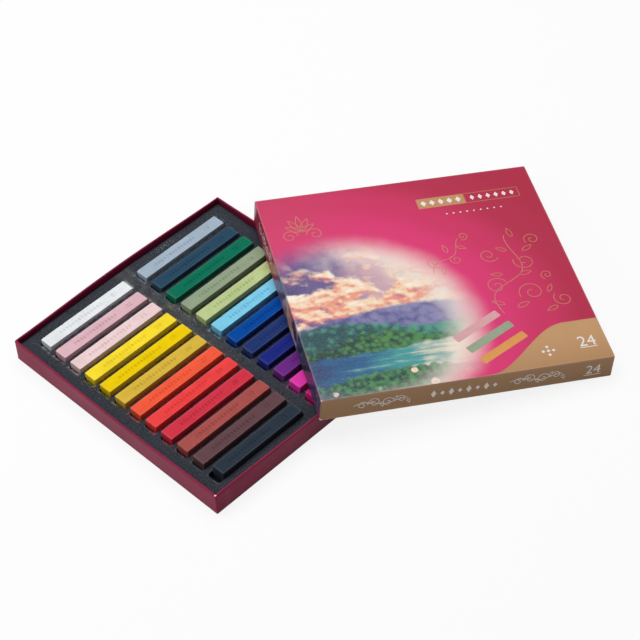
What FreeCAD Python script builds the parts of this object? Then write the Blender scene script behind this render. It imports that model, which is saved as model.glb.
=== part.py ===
import FreeCAD, Part

import math
import os
import re

import Sketcher

# Two-piece rigid box of soft pastel sticks, lid taken off and leaning on the tray.
# Millimetres. The origin is the middle of the tray's underside. +X runs along a row
# of sticks, +Y along each stick towards the back row, +Z is up.

SIZES = (
    ("tray_height", 18.0, "outside height of the tray"),
    ("lid_height", 18.8, "outside height of the lid"),
    ("lid_clearance", 0.6, "gap between the tray and the closed lid, each side"),
    ("board_thickness", 1.0, "greyboard of the tray and the lid"),
    ("paper_thickness", 0.15, "printed covering paper"),
    ("glue_line", 0.1, "glue and corner tape between greyboard and paper"),
    ("corner_radius", 0.8, "outside of each upright corner"),
    ("rim_radius", 0.3, "outside of the paper where it folds over a rim"),
    ("crease_bevel", 0.15, "crease at the panel's edge and inside the mouth"),
    ("tray_turn_in", 13.5, "paper folded down inside the tray's walls"),
    ("lid_turn_in", 12.0, "paper folded up inside the lid's walls"),
    ("stay_width", 14.0, "corner tape on each side of a corner"),
    ("stay_margin", 1.0, "corner tape stops this far from the board's edges"),
    ("foam_clearance", 0.2, "foam to the tray's lining paper"),
    ("foam_corner_radius", 1.5, "upright corners of both foam sheets"),
    ("base_foam_thickness", 4.4, "plain sheet under the sticks"),
    ("slot_foam_thickness", 5.85, "die-cut sheet round the sticks"),
    ("slot_corner_radius", 2.0, "corners of each die-cut slot"),
    ("slot_side_clearance", 0.3, "stick to slot, each long side"),
    ("slot_end_clearance", 1.3, "stick to slot, each end"),
    ("sticks_per_row", 12, "count"),
    ("stick_gap", 4.8, "between the upper faces of neighbours in a row"),
    ("row_gap", 12.7, "between the ends of the front and back sticks"),
    ("side_margin", 9.0, "last stick in a row to the tray's lining paper"),
    ("end_margin", 12.25, "stick's end to the tray's lining paper"),
    ("stick_length", 74.5, "pressed pastel stick"),
    ("stick_top_width", 10.2, "upper face of a stick"),
    ("stick_foot_width", 9.4, "lower face, narrower so that it leaves its mould"),
    ("stick_height", 10.0, "lower face to upper face"),
    ("stick_edge_bevel", 0.2, "long edges of a stick"),
    ("stick_seat_gap", 0.05, "stick above the base foam"),
    ("worn_end", 3.0, "length that the last front stick has lost"),
    ("lid_turn_degrees", 58.36, "turn of the leaning lid about the upright"),
    ("lid_front_overhang", 6.35, "lid's lower left edge past the tray's right wall"),
    ("lid_back_overhang", 0.35, "lid's lower left edge past the tray's back wall"),
    ("rest_gap", 0.05, "leaning lid above the tray's rim and above the table"),
)

# Shared formulas, written in the named sizes.
WALL = "(board_thickness + glue_line + 2 * paper_thickness)"
SKIN = "(paper_thickness + glue_line)"
PITCH = "(stick_top_width + stick_gap)"
ROW_SPACING = "(stick_length + row_gap)"
TRAY_LENGTH = f"(sticks_per_row * {PITCH} - stick_gap + 2 * side_margin + 2 * {WALL})"
TRAY_DEPTH = f"({ROW_SPACING} + stick_length + 2 * end_margin + 2 * {WALL})"
OUTSIDE = {
    "tray": (TRAY_LENGTH, TRAY_DEPTH, "tray_height"),
    "lid": (
        f"({TRAY_LENGTH} + 2 * lid_clearance + 2 * {WALL})",
        f"({TRAY_DEPTH} + 2 * lid_clearance + 2 * {WALL})",
        "lid_height",
    ),
}
TURN_IN = {"tray": "tray_turn_in", "lid": "lid_turn_in"}
SLOT_FLOOR = f"({SKIN} + board_thickness + base_foam_thickness)"

document = FreeCAD.newDocument("PastelBox")
sheet = document.addObject("Spreadsheet::Sheet", "Sizes")
for row, (alias, value, meaning) in enumerate(SIZES, start=1):
    sheet.set(f"A{row}", meaning)
    sheet.set(f"B{row}", str(value))
    sheet.setAlias(f"B{row}", alias)
document.recompute()

ALIASES = {alias for alias, _, _ in SIZES}
pieces = []


def formula(text):
    """The text as a FreeCAD expression, with each named size read from the sheet."""
    return re.sub(r"[a-z_]+", lambda word: f"Sizes.{word[0]}" if word[0] in ALIASES else word[0], text)


def amount(text):
    """The present value of a formula, for first guesses and for placements."""
    names = sorted(set(re.findall(r"[a-z_]+", text)) & ALIASES, key=len, reverse=True)
    scratch = document.addObject("App::FeaturePython", "Scratch")
    scratch.addProperty("App::PropertyFloat", "Amount")
    scratch.setExpression("Amount", formula(text) if names else text)
    document.recompute([scratch])
    result = scratch.Amount
    document.removeObject(scratch.Name)
    return result


def add_piece(thing, label, place=None):
    """Name a finished sub-part and set where it stands."""
    thing.Label = label
    if place is not None:
        thing.Placement = place
    pieces.append(thing)
    return thing


# Sketches


def origin_plane(body, role):
    for feature in body.Origin.OriginFeatures:
        if feature.Role == role:
            return feature
    raise ValueError(f"{body.Label} has no {role}")


def new_sketch(body, name, lift="0", role="XY_Plane"):
    """A sketch on one of the body's own origin planes, lifted off it by a formula."""
    sketch = body.newObject("Sketcher::SketchObject", name)
    sketch.AttachmentSupport = [(origin_plane(body, role), "")]
    sketch.MapMode = "FlatFace"
    sketch.setExpression("AttachmentOffset.Base.z", formula(lift))
    return sketch


def add_rounded_rectangle(sketch, name, length, depth, radius):
    """A rounded rectangle about the sketch's origin, held by its length, depth and radius."""
    half_x = amount(length) / 2
    half_y = amount(depth) / 2
    round_off = amount(radius)
    flat_x = half_x - round_off
    flat_y = half_y - round_off
    upright = FreeCAD.Vector(0, 0, 1)
    corners = ((flat_x, -flat_y, 270), (flat_x, flat_y, 0), (-flat_x, flat_y, 90), (-flat_x, -flat_y, 180))
    sides = (
        ((-flat_x, -half_y), (flat_x, -half_y)),
        ((half_x, -flat_y), (half_x, flat_y)),
        ((flat_x, half_y), (-flat_x, half_y)),
        ((-half_x, flat_y), (-half_x, -flat_y)),
    )
    lines = []
    for start, end in sides:
        line = Part.LineSegment(FreeCAD.Vector(*start, 0), FreeCAD.Vector(*end, 0))
        lines.append(sketch.addGeometry(line, False))
    arcs = []
    for centre_x, centre_y, from_angle in corners:
        circle = Part.Circle(FreeCAD.Vector(centre_x, centre_y, 0), upright, round_off)
        arc = Part.ArcOfCircle(circle, math.radians(from_angle), math.radians(from_angle + 90))
        arcs.append(sketch.addGeometry(arc, False))
    for index in range(4):
        sketch.addConstraint(Sketcher.Constraint("Tangent", lines[index], 2, arcs[index], 1))
        sketch.addConstraint(Sketcher.Constraint("Tangent", arcs[index], 2, lines[(index + 1) % 4], 1))
    for index in (0, 2):
        sketch.addConstraint(Sketcher.Constraint("Horizontal", lines[index]))
        sketch.addConstraint(Sketcher.Constraint("Vertical", lines[index + 1]))
    for index in (1, 2, 3):
        sketch.addConstraint(Sketcher.Constraint("Equal", arcs[0], arcs[index]))
    held = (
        ("radius", Sketcher.Constraint("Radius", arcs[0], round_off), radius),
        ("right", Sketcher.Constraint("DistanceX", -1, 1, lines[1], 1, half_x), f"{length} / 2"),
        ("left", Sketcher.Constraint("DistanceX", lines[3], 1, -1, 1, half_x), f"{length} / 2"),
        ("back", Sketcher.Constraint("DistanceY", -1, 1, lines[2], 1, half_y), f"{depth} / 2"),
        ("front", Sketcher.Constraint("DistanceY", lines[0], 1, -1, 1, half_y), f"{depth} / 2"),
    )
    for side, constraint, text in held:
        index = sketch.addConstraint(constraint)
        sketch.renameConstraint(index, f"{name}_{side}")
        sketch.setExpression(f"Constraints.{name}_{side}", formula(text))


def inset(name, depth_in):
    """Length, depth and corner radius of a shell's outline, drawn in by a formula."""
    length, depth, _ = OUTSIDE[name]
    return (
        f"({length} - 2 * {depth_in})",
        f"({depth} - 2 * {depth_in})",
        f"(corner_radius - {depth_in})",
    )


def pad(body, sketch, name, height):
    feature = body.newObject("PartDesign::Pad", name)
    feature.Profile = sketch
    feature.setExpression("Length", formula(height))
    return feature


def pocket(body, sketch, name, depth):
    """A pocket that cuts upwards from its sketch."""
    feature = body.newObject("PartDesign::Pocket", name)
    feature.Profile = sketch
    feature.Reversed = True
    feature.setExpression("Length", formula(depth))
    return feature


def level_edges(body, shell, level, outside):
    """The edges that lie level at a height, either round the outside or round the mouth."""
    length, depth, _ = OUTSIDE[shell]
    half_x = amount(f"({length} - {WALL}) / 2")
    half_y = amount(f"({depth} - {WALL}) / 2")
    height = amount(level)
    close = amount("paper_thickness / 100")
    chosen = []
    for index, edge in enumerate(body.Tip.Shape.Edges, start=1):
        ends = edge.Vertexes
        level_here = all(abs(end.Z - height) < close for end in ends)
        beyond = all(abs(end.X) > half_x or abs(end.Y) > half_y for end in ends)
        if level_here and beyond == outside:
            chosen.append(f"Edge{index}")
    return chosen


def dress_edges(body, kind, name, edges, size_name, size):
    """A fillet or chamfer of the body's present shape along the named edges."""
    base = body.Tip
    feature = body.newObject(f"PartDesign::{kind}", name)
    feature.Base = (base, edges)
    feature.setExpression(size_name, formula(size))
    body.Tip = feature
    document.recompute()


# Tray and lid: each is a greyboard shell, four corner tapes and one sheet of covering
# paper that is folded over the rim and down inside. The lid is drawn like a tray, with
# its panel below, and turned over by its placement.


def make_board(shell, place):
    """Scored greyboard blank, folded up into a panel with four walls."""
    height = OUTSIDE[shell][2]
    board_height = f"({height} - {SKIN} - paper_thickness)"
    body = document.addObject("PartDesign::Body", f"{shell}_board")
    outline = new_sketch(body, "BoardOutline", SKIN)
    add_rounded_rectangle(outline, "board", *inset(shell, SKIN))
    pad(body, outline, "Board", board_height)
    hollow = new_sketch(body, "BoardHollow", f"({SKIN} + board_thickness)")
    length, depth, _ = inset(shell, f"({SKIN} + board_thickness)")
    add_rounded_rectangle(hollow, "hollow", length, depth, "paper_thickness")
    pocket(body, hollow, "Hollow", f"({board_height} - board_thickness)")
    return add_piece(body, f"{shell}_board", place)


def make_wrap(shell, place):
    """Covering paper: under the panel, up the walls, over the rim and down inside."""
    height = OUTSIDE[shell][2]
    body = document.addObject("PartDesign::Body", f"{shell}_wrap")
    outline = new_sketch(body, "PaperOutline")
    add_rounded_rectangle(outline, "paper", *inset(shell, "0"))
    pad(body, outline, "OuterFaces", height)
    lined_length, lined_depth, _ = inset(shell, WALL)
    board_face = inset(shell, f"({WALL} - paper_thickness)")
    hollow = new_sketch(body, "BoardSpace", "paper_thickness")
    add_rounded_rectangle(hollow, "space", *inset(shell, "paper_thickness"))
    pocket(body, hollow, "BoardSpace", f"({height} - paper_thickness)")
    rim = new_sketch(body, "RimOutline", f"({height} - paper_thickness)")
    add_rounded_rectangle(rim, "rim", *inset(shell, "0"))
    add_rounded_rectangle(rim, "mouth", lined_length, lined_depth, "(paper_thickness / 2)")
    pad(body, rim, "RimFold", "paper_thickness")
    turn = new_sketch(body, "TurnInOutline", f"({height} - {TURN_IN[shell]})")
    add_rounded_rectangle(turn, "turned", board_face[0], board_face[1], "paper_thickness")
    add_rounded_rectangle(turn, "lined", lined_length, lined_depth, "(paper_thickness / 2)")
    pad(body, turn, "TurnIn", TURN_IN[shell])
    document.recompute()
    rim_edges = level_edges(body, shell, height, outside=True)
    dress_edges(body, "Fillet", "RimFoldRound", rim_edges, "Radius", "rim_radius")
    panel_edges = level_edges(body, shell, "0", outside=True)
    dress_edges(body, "Chamfer", "PanelCrease", panel_edges, "Size", "crease_bevel")
    mouth_edges = level_edges(body, shell, height, outside=False)
    dress_edges(body, "Chamfer", "MouthCrease", mouth_edges, "Size", "crease_bevel")
    return add_piece(body, f"{shell}_wrap", place)


def make_corner_stays(shell, place):
    """Four corner tapes that hold the board's walls together, under the paper."""
    length, depth, height = OUTSIDE[shell]
    ring = document.addObject("Sketcher::SketchObject", f"{shell}_tape_outline")
    ring.setExpression("Placement.Base.z", formula(f"({SKIN} + stay_margin)"))
    add_rounded_rectangle(ring, "outer", *inset(shell, "paper_thickness"))
    add_rounded_rectangle(ring, "inner", *inset(shell, SKIN))
    band = document.addObject("Part::Extrusion", f"{shell}_tape_band")
    band.Base = ring
    band.DirMode = "Normal"
    band.Solid = True
    band.setExpression("LengthFwd", formula(f"({height} - {SKIN} - paper_thickness - 2 * stay_margin)"))
    kept = band
    for side, span_x, span_y in (
        ("long", length, f"({depth} - 2 * (paper_thickness + stay_width))"),
        ("short", f"({length} - 2 * (paper_thickness + stay_width))", depth),
    ):
        slab = document.addObject("Part::Box", f"{shell}_{side}_gap")
        slab.setExpression("Length", formula(span_x))
        slab.setExpression("Width", formula(span_y))
        slab.setExpression("Height", formula(height))
        slab.setExpression("Placement.Base.x", formula(f"-{span_x} / 2"))
        slab.setExpression("Placement.Base.y", formula(f"-{span_y} / 2"))
        cut = document.addObject("Part::Cut", f"{shell}_{side}_cut")
        cut.Base = kept
        cut.Tool = slab
        kept = cut
    return add_piece(kept, f"{shell}_corner_stays", place)


# Foam


def foam_outline(sketch):
    length, depth, _ = inset("tray", f"({WALL} + foam_clearance)")
    add_rounded_rectangle(sketch, "foam", length, depth, "foam_corner_radius")


def make_foam_base():
    """Plain foam sheet on the tray's floor, which the sticks lie on."""
    body = document.addObject("PartDesign::Body", "foam_base")
    outline = new_sketch(body, "BaseOutline", f"({SKIN} + board_thickness)")
    foam_outline(outline)
    pad(body, outline, "BaseSheet", "base_foam_thickness")
    return add_piece(body, "foam_base", FreeCAD.Placement())


def make_foam_insert():
    """Die-cut foam sheet with one round-cornered slot for each stick."""
    body = document.addObject("PartDesign::Body", "foam_insert")
    outline = new_sketch(body, "InsertOutline", SLOT_FLOOR)
    foam_outline(outline)
    pad(body, outline, "InsertSheet", "slot_foam_thickness")
    slot = new_sketch(body, "SlotOutline", SLOT_FLOOR)
    slot.setExpression("AttachmentOffset.Base.x", formula(f"-(sticks_per_row - 1) * {PITCH} / 2"))
    slot.setExpression("AttachmentOffset.Base.y", formula(f"-{ROW_SPACING} / 2"))
    add_rounded_rectangle(
        slot,
        "slot",
        "(stick_top_width + 2 * slot_side_clearance)",
        "(stick_length + 2 * slot_end_clearance)",
        "slot_corner_radius",
    )
    first = pocket(body, slot, "FirstSlot", "slot_foam_thickness")
    document.recompute()
    along = body.newObject("PartDesign::LinearPattern", "SlotsAlongRow")
    along.Direction = (slot, ["H_Axis"])
    along.setExpression("Length", formula(f"(sticks_per_row - 1) * {PITCH}"))
    along.setExpression("Occurrences", formula("sticks_per_row"))
    across = body.newObject("PartDesign::LinearPattern", "SlotRows")
    across.Direction = (slot, ["V_Axis"])
    across.setExpression("Length", formula(ROW_SPACING))
    across.Occurrences = 2
    slots = body.newObject("PartDesign::MultiTransform", "Slots")
    slots.Originals = [first]
    slots.Transformations = [along, across]
    body.Tip = slots
    return add_piece(body, "foam_insert", FreeCAD.Placement())


# Sticks


def make_stick(row_name, side, number, worn):
    """One pressed pastel stick, wider at its upper face, lying along Y in its slot."""
    label = f"pastel_{row_name}_{number:02d}"
    body = document.addObject("PartDesign::Body", label)
    section = body.newObject("Sketcher::SketchObject", "Section")
    section.AttachmentSupport = [(origin_plane(body, "XZ_Plane"), "")]
    section.MapMode = "FlatFace"
    half_top = amount("stick_top_width / 2")
    half_foot = amount("stick_foot_width / 2")
    rise = amount("stick_height")
    outline = ((-half_foot, 0), (half_foot, 0), (half_top, rise), (-half_top, rise))
    for index in range(4):
        start = FreeCAD.Vector(*outline[index], 0)
        end = FreeCAD.Vector(*outline[(index + 1) % 4], 0)
        section.addGeometry(Part.LineSegment(start, end), False)
    for index in range(4):
        section.addConstraint(Sketcher.Constraint("Coincident", index, 2, (index + 1) % 4, 1))
    section.addConstraint(Sketcher.Constraint("Horizontal", 0))
    section.addConstraint(Sketcher.Constraint("Symmetric", 0, 1, 0, 2, -1, 1))
    section.addConstraint(Sketcher.Constraint("Symmetric", 2, 1, 2, 2, -2))
    held = (
        ("foot", Sketcher.Constraint("DistanceX", 0, 1, 0, 2, 2 * half_foot), "stick_foot_width"),
        ("top", Sketcher.Constraint("DistanceX", 2, 2, 2, 1, 2 * half_top), "stick_top_width"),
        ("rise", Sketcher.Constraint("DistanceY", 0, 2, 2, 1, rise), "stick_height"),
    )
    for name, constraint, text in held:
        index = section.addConstraint(constraint)
        section.renameConstraint(index, name)
        section.setExpression(f"Constraints.{name}", formula(text))
    bar = body.newObject("PartDesign::Pad", "Bar")
    bar.Profile = section
    bar.SideType = "Symmetric"
    bar.setExpression("Length", formula("stick_length - worn_end" if worn else "stick_length"))
    document.recompute()
    long_edges = []
    for index, edge in enumerate(bar.Shape.Edges, start=1):
        reach = edge.BoundBox
        if reach.YLength > reach.XLength + reach.ZLength:
            long_edges.append(f"Edge{index}")
    eased = body.newObject("PartDesign::Chamfer", "EasedEdges")
    eased.Base = (bar, long_edges)
    eased.setExpression("Size", formula("stick_edge_bevel"))
    body.Tip = eased
    shift = " + worn_end / 2" if worn else ""
    along = f"({number - 1} - (sticks_per_row - 1) / 2) * {PITCH}"
    body.setExpression("Placement.Base.x", formula(along))
    body.setExpression("Placement.Base.y", formula(f"{side} * {ROW_SPACING} / 2{shift}"))
    body.setExpression("Placement.Base.z", formula(f"{SLOT_FLOOR} + stick_seat_gap"))
    return add_piece(body, label)


# The leaning lid


def lid_placement():
    """Where the lid lies: its left wall across the tray's rim, its right rim edge on the table.

    The lower left edge starts just past the tray's back wall and ends past its right
    wall, so its place follows from the turn of the lid and the two overhangs.
    """
    turn = math.radians(amount("lid_turn_degrees"))
    length = amount(OUTSIDE["lid"][0])
    depth = amount(OUTSIDE["lid"][1])
    wall = amount(WALL)
    overhang = amount("lid_back_overhang")
    span = depth - amount("lid_front_overhang") - overhang
    slope = amount("tray_height") / (length - wall)
    tilt = math.asin(slope)
    along_edge = FreeCAD.Vector(-math.sin(turn), math.cos(turn), 0)
    on_back_wall = FreeCAD.Vector(
        amount(f"{TRAY_LENGTH} / 2") + span * along_edge.x,
        amount(f"{TRAY_DEPTH} / 2"),
        amount("tray_height + rest_gap") + wall * slope,
    )
    edge_middle = on_back_wall + along_edge * (overhang - depth / 2)
    rotation = FreeCAD.Rotation(FreeCAD.Vector(0, 0, 1), math.degrees(turn)).multiply(
        FreeCAD.Rotation(FreeCAD.Vector(0, 1, 0), math.degrees(tilt))
    )
    down_slope = rotation.multVec(FreeCAD.Vector(1, 0, 0))
    rim_middle = edge_middle + down_slope * (length / 2)
    turned_over = FreeCAD.Placement(
        FreeCAD.Vector(0, 0, amount("lid_height")),
        FreeCAD.Rotation(FreeCAD.Vector(1, 0, 0), 180),
    )
    return FreeCAD.Placement(rim_middle, rotation).multiply(turned_over)


def check_and_write():
    """Stop on any failed feature or bad solid, then write one STEP file a sub-part."""
    document.recompute()
    for thing in document.Objects:
        if {"Invalid", "Error"} & set(thing.State):
            raise RuntimeError(f"{thing.Name} is {thing.State}")
    for piece in pieces:
        shape = piece.Shape
        if shape.isNull() or not shape.isValid() or shape.Volume <= 0:
            raise RuntimeError(f"{piece.Label} has no valid solid")
    os.makedirs("parts", exist_ok=True)
    for piece in pieces:
        piece.Shape.exportStep(f"parts/{piece.Label}.step")
        print(piece.Label, len(piece.Shape.Solids), "solids", round(piece.Shape.Volume), "mm3")


tray_place = FreeCAD.Placement()
make_board("tray", tray_place)
make_corner_stays("tray", tray_place)
make_wrap("tray", tray_place)
make_foam_base()
make_foam_insert()
stick_count = int(amount("sticks_per_row"))
for row_name, side in (("front", -1), ("back", 1)):
    for number in range(1, stick_count + 1):
        make_stick(row_name, side, number, worn=(row_name == "front" and number == stick_count))
lid_place = lid_placement()
make_board("lid", lid_place)
make_corner_stays("lid", lid_place)
make_wrap("lid", lid_place)
check_and_write()
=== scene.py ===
"""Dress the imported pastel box: printed paper, foam, chalk sticks and a small studio."""
import logging
import math
import random
from dataclasses import dataclass, field
from enum import Enum
from typing import Sequence, Union

import bmesh
import bpy
import numpy as np
from mathutils import Matrix, Vector, noise


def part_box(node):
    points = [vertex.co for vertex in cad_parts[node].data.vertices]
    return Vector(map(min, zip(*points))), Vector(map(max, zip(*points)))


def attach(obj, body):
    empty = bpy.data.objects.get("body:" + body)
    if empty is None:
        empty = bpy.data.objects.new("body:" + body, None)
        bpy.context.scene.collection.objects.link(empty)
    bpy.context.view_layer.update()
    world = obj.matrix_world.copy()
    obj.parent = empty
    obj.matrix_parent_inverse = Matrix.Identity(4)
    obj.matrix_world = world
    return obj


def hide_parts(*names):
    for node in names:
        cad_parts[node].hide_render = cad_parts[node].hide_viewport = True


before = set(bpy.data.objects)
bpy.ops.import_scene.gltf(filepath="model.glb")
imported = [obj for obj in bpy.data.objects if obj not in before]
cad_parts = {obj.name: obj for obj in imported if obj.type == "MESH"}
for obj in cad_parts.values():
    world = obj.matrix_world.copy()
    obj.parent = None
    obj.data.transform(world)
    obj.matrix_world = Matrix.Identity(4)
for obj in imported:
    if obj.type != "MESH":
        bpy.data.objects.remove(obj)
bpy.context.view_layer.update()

MM = 0.001
log = logging.getLogger("pastel_box")

Pair = tuple[float, float]
Triple = tuple[float, float, float]
Colour = tuple[float, float, float, float]
Stops = list[tuple[float, Colour]]
Line = list[Pair]
Faces = list[tuple[int, ...]]
Solid = tuple[np.ndarray, Faces]
Material = bpy.types.Material
Socket = bpy.types.NodeSocket
Value = Union[float, tuple, Socket]


def ink(written: str) -> Colour:
    """A colour written as six hex digits, in the linear values that shaders take.

    Args:
        written: Red, green and blue as they look on a screen.

    Returns:
        Red, green, blue and a full alpha.
    """
    parts = [int(written[i : i + 2], 16) / 255 for i in (0, 2, 4)]
    linear = [c / 12.92 if c <= 0.04045 else ((c + 0.055) / 1.055) ** 2.4 for c in parts]
    return (linear[0], linear[1], linear[2], 1.0)


def inks(*stops: tuple[float, str]) -> Stops:
    """Places along a colour ramp, each with its written colour."""
    return [(place, ink(written)) for place, written in stops]


def shade(colour: Colour, share: float) -> Colour:
    """The colour made darker or lighter by a factor."""
    return (colour[0] * share, colour[1] * share, colour[2] * share, 1.0)


def pale(colour: Colour, share: float) -> Colour:
    """The colour moved a share of the way to white."""
    return tuple(c + (1 - c) * share for c in colour[:3]) + (1.0,)


class Body(Enum):
    """The bodies that pieces ride on."""

    TRAY = "tray"
    LID = "lid"


class Row(Enum):
    """The two rows of sticks."""

    FRONT = "front"
    BACK = "back"


# Pieces


def add_piece(
    piece: bpy.types.Object, body: str, stands_for: Sequence[str] = ()
) -> None:
    """Join a piece to its body, log it and hide the plain solids it stands for.

    Args:
        piece: The finished object, in place.
        body: The body that it rides on.
        stands_for: The plain nodes that it replaces.
    """
    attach(piece, body)
    if stands_for:
        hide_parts(*stands_for)
    log.info("%s rides on %s, %d faces", piece.name, body, len(piece.data.polygons))


def link(name: str, data: bpy.types.ID) -> bpy.types.Object:
    """Put a mesh, a lamp or other data into the scene as a new object.

    Args:
        name: The object's name.
        data: What it shows.

    Returns:
        The linked object.
    """
    made = bpy.data.objects.new(name, data)
    bpy.context.scene.collection.objects.link(made)
    return made


def settled(piece: bpy.types.Object) -> bpy.types.Mesh:
    """A new mesh of an object as it is with its modifiers.

    Args:
        piece: The object.

    Returns:
        The mesh.
    """
    bpy.context.view_layer.update()
    graph = bpy.context.evaluated_depsgraph_get()
    return bpy.data.meshes.new_from_object(piece.evaluated_get(graph))


def read_out(work: bmesh.types.BMesh) -> Solid:
    """The points and faces of a working mesh, which is then freed.

    Args:
        work: The working mesh.

    Returns:
        Its points and faces.
    """
    work.verts.index_update()
    points = np.array([v.co[:] for v in work.verts])
    faces = [tuple(v.index for v in f.verts) for f in work.faces]
    work.free()
    return points, faces


def make_object(
    name: str, points: np.ndarray, faces: Faces, finish: Material, sharp_above: float = 40.0
) -> bpy.types.Object:
    """A mesh object with smooth shading, apart from edges sharper than an angle.

    Args:
        name: The piece's name.
        points: Its corners, in metres, in the box's frame.
        faces: Corner numbers of each face.
        finish: The material of all its faces.
        sharp_above: Edges that turn by more than this many degrees stay crisp.

    Returns:
        The linked object.
    """
    mesh = bpy.data.meshes.new(name)
    mesh.from_pydata([tuple(map(float, p)) for p in points], [], faces)
    mesh.materials.append(finish)
    mesh.validate()
    made = link(name, mesh)
    work = bmesh.new()
    work.from_mesh(mesh)
    bmesh.ops.recalc_face_normals(work, faces=work.faces)
    work.to_mesh(mesh)
    work.free()
    mesh.shade_smooth()
    mesh.set_sharp_from_angle(angle=math.radians(sharp_above))
    return made


def ring_faces(count: int, rings: int) -> Faces:
    """Four-cornered faces between rings of points that follow one another.

    Args:
        count: Points in each ring.
        rings: How many rings there are.

    Returns:
        The faces.
    """
    faces = []
    for first in range(0, count * (rings - 1), count):
        for i in range(count):
            k = (i + 1) % count
            faces.append((first + i, first + k, first + count + k, first + count + i))
    return faces


def slab_faces(count: int) -> Faces:
    """Faces of a flat shape made solid: its lower ring, its upper ring and its sides."""
    return [tuple(range(count))[::-1], tuple(range(count, 2 * count)), *ring_faces(count, 2)]


class Heap:
    """Points and faces of several shapes together."""

    def __init__(self) -> None:
        """Start with nothing."""
        self.points: list[Triple] = []
        self.faces: Faces = []

    def add(self, points: Sequence[Triple], faces: Faces) -> None:
        """Add one shape.

        Args:
            points: Its points.
            faces: Its faces, which number those points from nought.
        """
        start = len(self.points)
        self.points += [tuple(p) for p in points]
        self.faces += [tuple(start + i for i in face) for face in faces]


def paint_points(piece: bpy.types.Object, name: str, values: np.ndarray) -> None:
    """Store one number or one vector at each corner of a mesh, for its finish to read.

    Args:
        piece: The mesh object.
        name: What the finish calls the value.
        values: One number, or three, for each corner.
    """
    kind, part = ("FLOAT", "value") if values.ndim == 1 else ("FLOAT_VECTOR", "vector")
    layer = piece.data.attributes.new(name, kind, "POINT")
    layer.data.foreach_set(part, values.astype(np.float32).ravel())


# Shader nodes


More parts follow.
